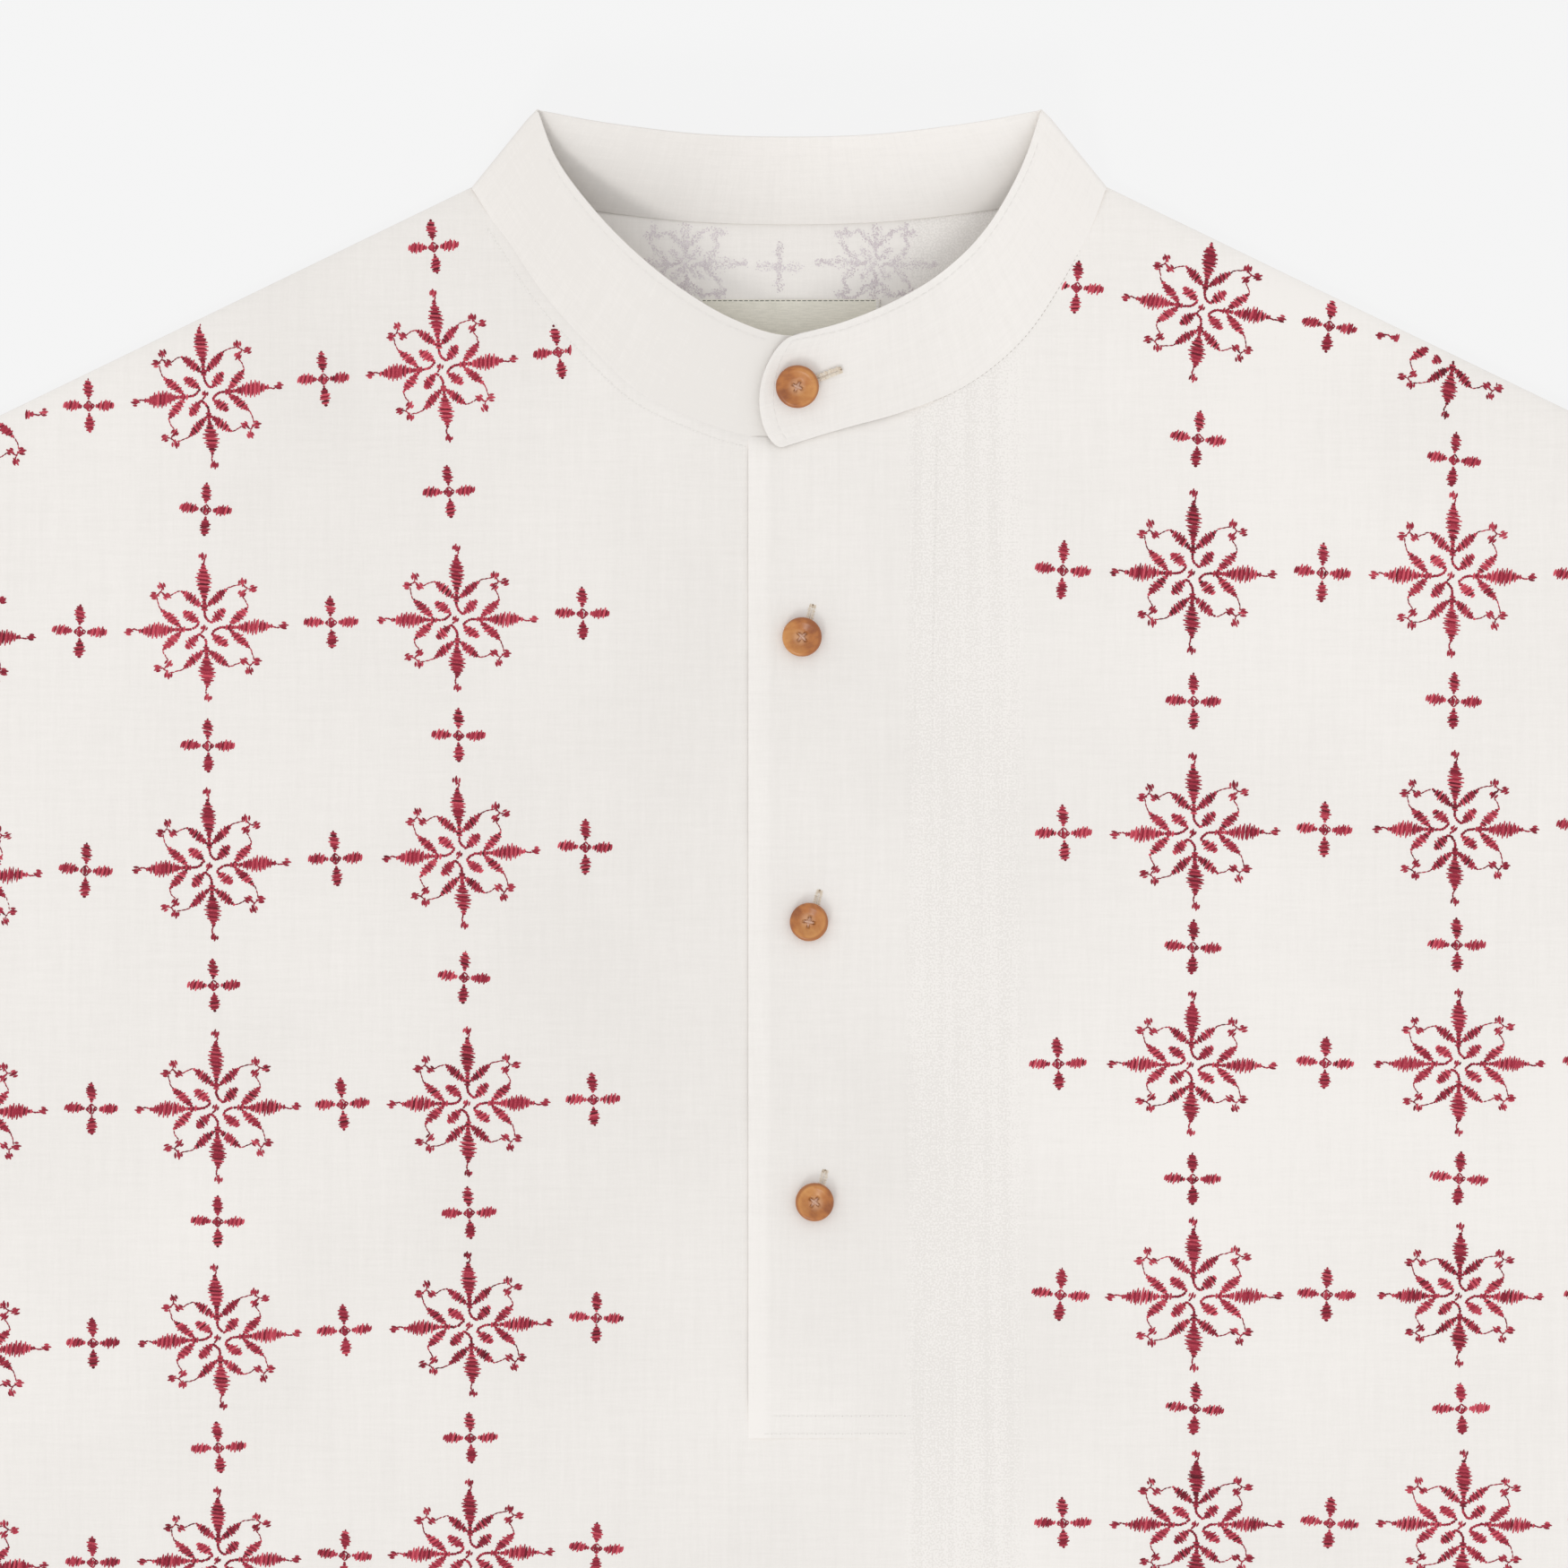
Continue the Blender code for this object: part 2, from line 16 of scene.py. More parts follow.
import bpy
import numpy as np
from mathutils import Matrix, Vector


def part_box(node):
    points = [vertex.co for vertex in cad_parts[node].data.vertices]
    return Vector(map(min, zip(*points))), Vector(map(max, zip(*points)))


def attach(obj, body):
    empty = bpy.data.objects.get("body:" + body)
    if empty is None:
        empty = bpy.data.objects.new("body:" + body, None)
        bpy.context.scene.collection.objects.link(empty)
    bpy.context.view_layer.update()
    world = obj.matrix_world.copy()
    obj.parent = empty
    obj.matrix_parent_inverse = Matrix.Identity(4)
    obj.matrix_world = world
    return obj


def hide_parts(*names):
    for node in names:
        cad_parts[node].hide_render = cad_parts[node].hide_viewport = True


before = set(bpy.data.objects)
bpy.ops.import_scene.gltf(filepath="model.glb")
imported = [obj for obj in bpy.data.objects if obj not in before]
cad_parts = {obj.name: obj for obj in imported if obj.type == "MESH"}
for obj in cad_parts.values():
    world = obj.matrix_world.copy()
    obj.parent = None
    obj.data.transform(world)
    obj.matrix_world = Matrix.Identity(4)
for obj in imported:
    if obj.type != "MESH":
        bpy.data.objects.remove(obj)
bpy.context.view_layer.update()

LOG = logging.getLogger("linen_shirt")

Array = np.ndarray
Surface = Callable[[Array, Array], Array]
Colour = tuple[float, float, float]

MM = 0.001
BODY = "root"
CLOTH_UV = "cloth"
TONE = "tone"

BODY_LENGTH = 740 * MM
SEAM_POINTS = 180
THREAD_GAP = 0.02 * MM
EDGE_ANGLE = math.radians(50)

STAR_SEED = 23
SEWING_SEED = 37


# Tables of the cut


class Section(NamedTuple):
    """One place round the collar, in millimetres: seam and top edge in plan, and the rise between them."""

    seam_x: float
    seam_y: float
    top_x: float
    top_y: float
    rise: float


class Fold(NamedTuple):
    """One soft fold or crease, in millimetres and degrees; a negative height is a trough."""

    x: float
    y: float
    length: float
    width: float
    turn: float
    height: float


class MotifRow(NamedTuple):
    """One row of stars, in millimetres: its first star, the step to the next column, and how tall it is."""

    x: float
    y: float
    across: float
    rise: float
    tall: float


class ButtonPlace(NamedTuple):
    """One button, in millimetres, with the turn of its light side and of its thread, in degrees."""

    name: str
    x: float
    y: float
    diameter: float
    light_turn: float
    depth: float
    thread_turn: float


UNDER_FRONT = (
    Section(18.0, -71.6, 21.0, -41.4, 6.0),
    Section(2.0, -76.1, 9.0, -45.4, 6.0),
    Section(-13.0, -75.1, -3.6, -45.2, 6.4),
    Section(-28.9, -70.0, -17.5, -40.4, 7.2),
    Section(-44.4, -62.6, -30.6, -32.9, 8.8),
    Section(-61.0, -47.1, -46.8, -20.2, 11.5),
    Section(-74.4, -31.8, -59.7, -6.8, 14.0),
    Section(-85.0, -15.6, -69.8, 7.2, 16.0),
    Section(-94.1, -0.7, -74.9, 21.0, 17.0),
)
BACK_NECK = (
    Section(-94.1, -0.7, -74.9, 21.0, 17.0),
    Section(-62.0, -6.0, -50.5, 16.9, 20.0),
    Section(-31.0, -9.6, -25.5, 13.9, 22.0),
    Section(0.0, -10.6, 0.0, 13.1, 22.5),
    Section(31.0, -9.6, 25.5, 13.9, 22.0),
    Section(62.0, -6.0, 50.5, 16.9, 20.0),
    Section(94.1, -0.7, 74.9, 21.0, 17.0),
)
OVER_FRONT = (
    Section(94.1, -0.7, 74.9, 21.0, 17.0),
    Section(89.4, -14.4, 70.9, 8.0, 15.5),
    Section(81.5, -29.6, 65.0, -4.4, 13.5),
    Section(70.0, -46.2, 56.6, -16.6, 11.0),
    Section(54.0, -59.4, 45.1, -27.2, 9.0),
    Section(33.7, -68.1, 30.2, -36.0, 7.5),
    Section(15.7, -73.2, 16.5, -41.6, 6.6),
    Section(-2.2, -78.8, 2.2, -45.6, 6.0),
)
FRONT_FOLDS = (
    Fold(-120, -290, 230, 16, 62, -0.5),
    Fold(-150, -215, 150, 14, 50, 0.4),
    Fold(-205, -330, 200, 18, 84, -0.5),
    Fold(170, -310, 260, 15, 92, 0.45),
    Fold(215, -230, 180, 18, 96, -0.4),
    Fold(-90, -520, 320, 30, 80, 0.6),
    Fold(110, -560, 300, 30, 97, -0.6),
)
FRONT_CREASES = (
    Fold(-137, -171, 62, 5.0, 52, -0.30),
    Fold(-136, -212, 74, 4.0, 12, 0.22),
    Fold(-140, -243, 96, 6.0, 28, -0.34),
    Fold(-112, -330, 84, 5.5, 57, 0.34),
    Fold(-128, -352, 70, 5.0, 64, -0.32),
    Fold(-235, -208, 112, 3.2, 91, -0.24),
    Fold(167, -232, 74, 2.6, 89, -0.14),
    Fold(155, -297, 78, 2.8, 92, 0.14),
    Fold(105, -12, 22, 3.0, 118, -0.26),
    Fold(66, -205, 250, 7.0, 89, 0.12),
    Fold(232, -180, 90, 6.0, 80, 0.14),
    Fold(-60, -470, 160, 9.0, 74, -0.20),
    Fold(-190, -520, 190, 11.0, 96, 0.22),
    Fold(70, -480, 150, 8.0, 101, 0.18),
    Fold(180, -600, 200, 12.0, 84, -0.24),
    Fold(-30, -640, 130, 9.0, 92, 0.16),
)
BACK_CREASES = (
    Fold(-26, -30, 70, 9.0, 8, 0.22),
    Fold(30, -24, 60, 7.0, 172, -0.20),
    Fold(4, -18, 44, 4.0, 176, 0.12),
)
SLEEVE_FOLDS = ((0.82, 0.30, 0.5), (0.62, 0.22, -0.35), (0.35, 0.10, 0.3))
BUTTON_PROFILE = (
    (0.0, 0.56),
    (0.38, 0.60),
    (0.58, 0.80),
    (0.74, 0.96),
    (0.86, 0.97),
    (0.96, 0.82),
    (1.0, 0.56),
    (0.95, 0.28),
    (0.7, 0.05),
    (0.0, 0.0),
)
GHOST_STARS = ((-31.2, -23.2), (26.0, -23.0))
GHOST_CROSSES = ((-3.0, -24.5),)
BUTTON_PLACES = (
    ButtonPlace("button_collar", 2.4, -60.8, 13.0, 10, 0.55, 20),
    ButtonPlace("button_upper", 3.8, -136.1, 11.9, 200, 0.35, 0),
    ButtonPlace("button_middle", 5.9, -221.9, 11.6, 305, 0.70, 35),
    ButtonPlace("button_lower", 7.6, -306.2, 11.6, 140, 0.65, 8),
)
LEFT_STARS = (
    MotifRow(-175.8, -62.4, 70.8, 8.1, 0.900),
    MotifRow(-176.0, -133.1, 75.8, 2.7, 0.865),
    MotifRow(-174.4, -204.7, 75.3, 3.5, 0.910),
    MotifRow(-172.5, -277.6, 75.6, 1.4, 0.875),
    MotifRow(-172.0, -347.0, 75.9, 3.8, 0.845),
    MotifRow(-172.0, -413.9, 75.9, 2.1, 0.835),
    MotifRow(-172.4, -482.5, 75.7, 1.6, 0.850),
    MotifRow(-173.0, -551.4, 75.8, 0.6, 0.860),
    MotifRow(-173.2, -620.0, 75.6, 1.2, 0.850),
    MotifRow(-173.0, -688.6, 75.8, 0.4, 0.850),
)
RIGHT_STARS = (
    MotifRow(124.7, -36.5, 76.2, -11.6, 0.885),
    MotifRow(121.5, -116.4, 78.3, -0.8, 0.970),
    MotifRow(122.0, -194.7, 78.6, 1.1, 0.915),
    MotifRow(121.2, -264.6, 80.5, 0.3, 0.860),
    MotifRow(121.8, -334.3, 80.2, 0.0, 0.870),
    MotifRow(122.6, -403.1, 80.4, 0.0, 0.840),
    MotifRow(122.3, -472.4, 80.0, 0.6, 0.860),
    MotifRow(122.0, -541.6, 79.8, 0.2, 0.850),
    MotifRow(121.6, -610.4, 79.6, -0.4, 0.850),
    MotifRow(121.8, -679.0, 79.8, 0.0, 0.850),
)


# Plain helpers


def smooth_step(value: Array) -> Array:
    """A soft S from 0 to 1, three squares less two cubes of the clipped value.

    Args:
        value: Where on the step each point lies.

    Returns:
        0 below 0, 1 above 1 and the S between.
    """
    value = np.clip(value, 0.0, 1.0)
    return value * value * (3 - 2 * value)


def smooth_rows(rows: Sequence[Sequence[float]], count: int, scale: float = MM) -> Array:
    """A table read at even steps as one smooth curve: cubic spans whose slopes come from the rows beside.

    Args:
        rows: The table, whose first two columns give the distance between rows.
        count: Number of points to return.
        scale: Metres for each unit of the table.

    Returns:
        An array of count rows.
    """
    points = np.array(rows) * scale
    steps = np.linalg.norm(np.diff(points[:, :2], axis=0), axis=1)
    knots = np.concatenate(([0.0], np.cumsum(steps)))
    slopes = np.gradient(points, knots, axis=0)
    reach = np.linspace(0.0, knots[-1], count)
    span = np.clip(np.searchsorted(knots, reach, side="right") - 1, 0, len(knots) - 2)
    width = (knots[span + 1] - knots[span])[:, None]
    s = (reach - knots[span])[:, None] / width
    start = (1 + 2 * s) * (1 - s) ** 2 * points[span]
    start_slope = s * (1 - s) ** 2 * width * slopes[span]
    end = s * s * (3 - 2 * s) * points[span + 1]
    end_slope = s * s * (s - 1) * width * slopes[span + 1]
    return start + start_slope + end + end_slope


def soft_folds(folds: Sequence[Fold], x: Array, y: Array) -> Array:
    """The sum of soft folds: each a bell across its line that fades out at its two ends.

    Args:
        folds: The folds' table.
        x: Plan positions.
        y: Plan positions.

    Returns:
        Heights in metres.
    """
    total = np.zeros(np.broadcast(x, y).shape)
    for fold in folds:
        turn = math.radians(fold.turn)
        dx = x - fold.x * MM
        dy = y - fold.y * MM
        along = (dx * math.cos(turn) + dy * math.sin(turn)) / (fold.length / 2 * MM)
        across = (dy * math.cos(turn) - dx * math.sin(turn)) / (fold.width * MM)
        total = total + fold.height * MM * np.exp(-(across**2)) * np.clip(1 - along**2, 0, 1) ** 2
    return total


def unit(vectors: Array) -> Array:
    """Vectors of length one, each divided by its own length."""
    return vectors / np.maximum(np.linalg.norm(vectors, axis=-1, keepdims=True), 1e-12)


def left_of(ahead: Array) -> Array:
    """Directions in plan turned a quarter to the left."""
    return np.stack([-ahead[..., 1], ahead[..., 0]], axis=-1)


def run_length(points: Array) -> Array:
    """Distance along a line of points, from its first point, as a running sum of its steps."""
    return np.concatenate(([0.0], np.cumsum(np.linalg.norm(np.diff(points, axis=0), axis=1))))


def resampled(points: Array, step: float) -> Array:
    """A line of points read again at even steps.

    Args:
        points: Points along the line, one a row.
        step: Distance wanted between points.

    Returns:
        The new points.
    """
    length = run_length(points)
    reach = np.linspace(0.0, length[-1], max(int(round(length[-1] / step)), 1) + 1)
    return np.stack([np.interp(reach, length, points[:, axis]) for axis in range(points.shape[1])], axis=1)


# The cut


@dataclass(frozen=True)
class Cut:
    """The shirt's pattern, the same as the solids': outlines in plan and the height of each layer."""

    wall: float = 1.2 * MM
    seam_gap: float = 0.3 * MM
    neck_half: float = 95 * MM
    shoulder_half: float = 250 * MM
    shoulder_drop: float = 75 * MM
    chest_half: float = 290 * MM
    underarm_y: float = -310 * MM
    armhole_scoop: float = 5 * MM
    armhole_power: float = 2.2
    hem_y: float = -BODY_LENGTH
    inner_half: float = 100 * MM
    slit_left: float = -2 * MM
    slit_right: float = 30 * MM
    slit_y: float = -370 * MM
    puff: float = 1.5 * MM
    puff_reach: float = 60 * MM
    neck_rise: float = 1.6 * MM
    neck_rise_y: float = -85 * MM
    neck_rise_reach: float = 75 * MM
    back_lap: float = 1.0 * MM
    hem_depth: float = 20 * MM
    hem_step: float = 0.3 * MM
    edge_roll: float = 0.55 * MM
    edge_reach: float = 6 * MM
    fade: float = 2 * MM
    origin_y: float = field(default_factory=lambda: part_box("back")[0].y + BODY_LENGTH)

    @property
    def panel_step(self) -> float:
        """Height of a layer's underside over the underside of the layer below it."""
        return self.wall + self.seam_gap

    def place(self, x: Array, y: Array, z: Array) -> Array:
        """Points of the pattern in the frame of the solids, as one array with x, y and z last."""
        x, y, z = np.broadcast_arrays(x, y, z)
        return np.stack([x, y + self.origin_y, z], axis=-1)

    def moved(self, points: Array) -> Array:
        """The same for points that have their x, y and z last already."""
        return self.place(points[..., 0], points[..., 1], points[..., 2])

    def shoulder_line(self, x: Array) -> Array:
        """The shoulder seam at x, a straight slope from the neck point to the sleeve."""
        share = (np.abs(x) - self.neck_half) / (self.shoulder_half - self.neck_half)
        return -self.shoulder_drop * share

    def half_width(self, y: Array) -> Array:
        """Half the body's width at y: straight below the underarm, a power curve less a sine scoop above."""
        share = np.clip((-self.shoulder_drop - y) / (-self.shoulder_drop - self.underarm_y), 0.0, 1.0)
        spread = (self.chest_half - self.shoulder_half) * share**self.armhole_power
        return self.shoulder_half + spread - self.armhole_scoop * np.sin(math.pi * share)

    def body_x(self, column: Array, y: Array) -> Array:
        """Where a column lies at y: straight near the centre, spread with the body's width outside it."""
        spread = (self.half_width(y) - self.inner_half) / (self.shoulder_half - self.inner_half)
        outer = np.sign(column) * (self.inner_half + (np.abs(column) - self.inner_half) * spread)
        return np.where(np.abs(column) <= self.inner_half, column, outer)

    def seam_y(self, x: Array, table: Sequence[Section]) -> Array:
        """Height of one stretch of the collar's seam at x, read from its smooth curve."""
        seam = smooth_rows(table, SEAM_POINTS)
        order = np.argsort(seam[:, 0])
        return np.interp(x, seam[order, 0], seam[order, 1])

    def front_neck(self, x: Array) -> Array:
        """The front's neck edge: the seam of the collar's end that it carries, and the shoulder past it."""
        under = self.seam_y(x, UNDER_FRONT)
        over = self.seam_y(x, OVER_FRONT)
        seam = np.where(x < self.slit_right - self.seam_gap, under, over)
        corner = smooth_step((np.abs(x) - self.neck_half + self.fade) / self.fade)
        return np.where(np.abs(x) >= self.neck_half, self.shoulder_line(x), seam * (1 - corner))

    def back_neck(self, x: Array) -> Array:
        """The back's neck edge, a shallow scoop a little under the collar, and the shoulder past it."""
        scoop = np.minimum(self.seam_y(x, BACK_NECK) + self.back_lap, 0.0)
        return np.where(np.abs(x) >= self.neck_half, self.shoulder_line(x), scoop)

    def front_lift(self, x: Array, y: Array) -> Array:
        """Height of the front's underside: one layer up at its edges, lofted inside them, with its folds."""
        side = smooth_step((self.half_width(y) - np.abs(x)) / self.puff_reach)
        hem = smooth_step((y - self.hem_y) / self.puff_reach)
        inner = np.maximum(np.abs(x), self.neck_half)
        shoulder = smooth_step((self.shoulder_line(inner) - y) / self.puff_reach)
        loft = side * hem * shoulder * (self.puff + soft_folds(FRONT_FOLDS, x, y))
        neck = np.exp(-(x * x + (y - self.neck_rise_y) ** 2) / self.neck_rise_reach**2)
        return self.panel_step + loft + self.neck_rise * neck

    def edge_distance(self, x: Array, y: Array) -> Array:
        """Distance to the nearest of the side, shoulder and hem edges."""
        inner = np.maximum(np.abs(x), self.neck_half)
        side = self.half_width(y) - np.abs(x)
        return np.minimum(np.minimum(side, self.shoulder_line(inner) - y), y - self.hem_y)

    def front_top(self, x: Array, y: Array) -> Array:
        """Height of the front's face: the solid's, with creases, a thicker hem and edges rolled down."""
        creases = soft_folds(FRONT_CREASES, x, y)
        hem = self.hem_step * (1 - smooth_step((y - self.hem_y - self.hem_depth) / self.fade))
        roll = self.edge_roll * (1 - smooth_step(self.edge_distance(x, y) / self.edge_reach))
        return self.front_lift(x, y) + self.wall + creases + hem - roll

    def back_top(self, x: Array, y: Array) -> Array:
        """Height of the inside face of the back, flat but for a few creases near the neck."""
        return self.wall + soft_folds(BACK_CREASES, x, y)

    def on_front(self, x: Array, y: Array) -> Array:
        """Points for thread on the front's face."""
        return self.place(x, y, self.front_top(x, y) + THREAD_GAP)


# Meshes


def put_mesh(
    name: str,
    points: Array,
    quads: Array,
    uv: Optional[Array] = None,
    tone: Optional[Array] = None,
) -> bpy.types.Object:
    """A smooth mesh object from arrays of points and four-sided faces.

    Args:
        name: The object's name.
        points: Points, one a row, in the frame of the solids.
        quads: Point numbers of the faces, four a row.
        uv: For each corner of each face, its place on the flat cloth.
        tone: For each point, a shade from 0, dark, to 1, light.

    Returns:
        The new object, in the scene.
    """
    mesh = bpy.data.meshes.new(name)
    mesh.vertices.add(len(points))
    mesh.vertices.foreach_set("co", points.astype(np.float32).ravel())
    mesh.loops.add(quads.size)
    mesh.loops.foreach_set("vertex_index", quads.astype(np.int32).ravel())
    mesh.polygons.add(len(quads))
    mesh.polygons.foreach_set("loop_start", np.arange(0, quads.size, 4, dtype=np.int32))
    mesh.update(calc_edges=True)
    mesh.shade_smooth()
    if uv is not None:
        layer = mesh.uv_layers.new(name=CLOTH_UV)
        layer.data.foreach_set("uv", uv.astype(np.float32).ravel())
    if tone is not None:
        shade = mesh.attributes.new(TONE, "FLOAT", "POINT")
        shade.data.foreach_set("value", tone.astype(np.float32).ravel())
    mesh.validate()
    made = bpy.data.objects.new(name, mesh)
    bpy.context.scene.collection.objects.link(made)
    return made


def grid_quads(rows: int, columns: int, wrap: bool = False) -> Array:
    """Point numbers of a grid's faces: each takes its own point, the next, the one over that and over its own.

    Args:
        rows: Rows of points.
        columns: Columns of points.
        wrap: Whether the last column meets the first.

    Returns:
        An array of rows - 1 by columns of faces (one fewer without wrap) by four numbers.
    """
    first = np.arange(columns if wrap else columns - 1)
    second = (first + 1) % columns
    low = np.arange(rows - 1)[:, None] * columns
    return np.stack([low + first, low + second, low + columns + second, low + columns + first], axis=-1)


def repeated_quads(cells: Array, count: int, points: int) -> Array:
    """The faces of one small grid, repeated for count grids that have points points each."""
    return (np.arange(count)[:, None, None] * points + cells.reshape(-1, 4)).reshape(-1, 4)


def shell(
    name: str,
    outer: Array,
    inner: Array,
    uv: Array,
    keep: Optional[Array] = None,
    wrap: bool = False,
    rim: float = 0.25 * MM,
) -> bpy.types.Object:
    """Cloth with a face, a back and closed edges, from two grids of points that match.

    The face takes the first grid's quads, the back the second's turned over, and each edge between a kept
    face and nothing gets one quad that joins the two, with its corners rounded by a bevel.

    Args:
        name: The object's name.
        outer: Rows by columns of points of the face, whose normals point out when rows run up and columns right.
        inner: The same for the back of the cloth.
        uv: Rows by columns of places on the flat cloth, with one more column where the grid wraps.
        keep: Which faces are there, for a cloth with an opening cut in it.
        wrap: Whether the last column meets the first.
        rim: Width of the rounding of the edges.

    Returns:
        The new object.
    """
    rows, columns = outer.shape[:2]
    quads = grid_quads(rows, columns, wrap)
    flat = grid_quads(rows, uv.shape[1])
    keep = np.ones(quads.shape[:2], bool) if keep is None else keep
    count = rows * columns
    edges = []
    flat_edges = []
    beyond = np.pad(keep, ((1, 1), (0, 0)))
    sideways = np.pad(keep, ((0, 0), (1, 1)), mode="wrap" if wrap else "constant")
    open_sides = (
        (keep & ~beyond[:-2], 0, 1),
        (keep & ~beyond[2:], 2, 3),
        (keep & ~sideways[:, :-2], 3, 0),
        (keep & ~sideways[:, 2:], 1, 2),
    )
    for mask, start, end in open_sides:
        a = quads[mask][:, start]
        b = quads[mask][:, end]
        edges.append(np.stack([b, a, a + count, b + count], axis=-1))
        a = flat[mask][:, start]
        b = flat[mask][:, end]
        flat_edges.append(np.stack([b, a, a, b], axis=-1))
    faces = np.concatenate([quads[keep], quads[keep][:, ::-1] + count, *edges])
    corners = np.concatenate([flat[keep], flat[keep][:, ::-1], *flat_edges])
    used = np.unique(faces)
    renumber = np.zeros(2 * count, int)
    renumber[used] = np.arange(len(used))
    points = np.concatenate([outer.reshape(-1, 3), inner.reshape(-1, 3)])[used]
    places = uv.reshape(-1, 2)[corners]
    made = put_mesh(name, points, renumber[faces], uv=places)
    if rim > 0:
        bevel = made.modifiers.new("rounded_edge", "BEVEL")
        bevel.limit_method = "ANGLE"
        bevel.angle_limit = EDGE_ANGLE
        bevel.width = rim
        bevel.segments = 2
    return made


def surface_normals(points: Array, wrap: bool = False) -> Array:
    """Normals of a grid of points: the cross product of its slopes along columns and along rows.

    Args:
        points: Rows by columns of points.
        wrap: Whether the last column meets the first.

    Returns:
        Unit normals, one for each point.
    """
    if wrap:
        along = np.roll(points, -1, axis=1) - np.roll(points, 1, axis=1)
    else:
        along = np.gradient(points, axis=1)
    up = np.gradient(points, axis=0)
    return unit(np.cross(along, up))


# Shader building


def operator(operation: str, before: bool = False) -> Callable[["Value", Union["Value", float]], "Value"]:
    """A method of Value that puts it and one other number through a Math node.

    Args:
        operation: The node's operation.
        before: Whether the other number comes first.

    Returns:
        The method.
    """

    def method(value: "Value", other: Union["Value", float]) -> "Value":
        """The node's result."""
        terms = (other, value) if before else (value, other)
        made = value.shader.node("ShaderNodeMath", {"operation": operation}, dict(enumerate(terms)))
        return Value(value.shader, made.outputs[0])

    return method


class Value:
    """A number that varies over a surface, so that shader sums read as plain Python."""

    def __init__(self, shader: "Shader", socket: bpy.types.NodeSocket) -> None:
        """Keeps the shader that new nodes go to and the socket that gives the number."""
        self.shader = shader
        self.socket = socket

    __add__ = __radd__ = operator("ADD")
    __sub__ = operator("SUBTRACT")
    __rsub__ = operator("SUBTRACT", before=True)
    __mul__ = __rmul__ = operator("MULTIPLY")
    __truediv__ = operator("DIVIDE")
    __pow__ = operator("POWER")

    def clipped(self) -> "Value":
        """The value, no lower than 0 and no higher than 1."""
        made = self.shader.node("ShaderNodeClamp", {}, {0: self})
        return Value(self.shader, made.outputs[0])

    def step(self, low: float, high: float) -> "Value":
        """A soft step from 0 at low to 1 at high."""
        settings = {"interpolation_type": "SMOOTHSTEP"}
        made = self.shader.node("ShaderNodeMapRange", settings, {0: self, 1: low, 2: high, 3: 0.0, 4: 1.0})
        return Value(self.shader, made.outputs[0])


Input = Union[Value, bpy.types.NodeSocket, float, Sequence[float]]


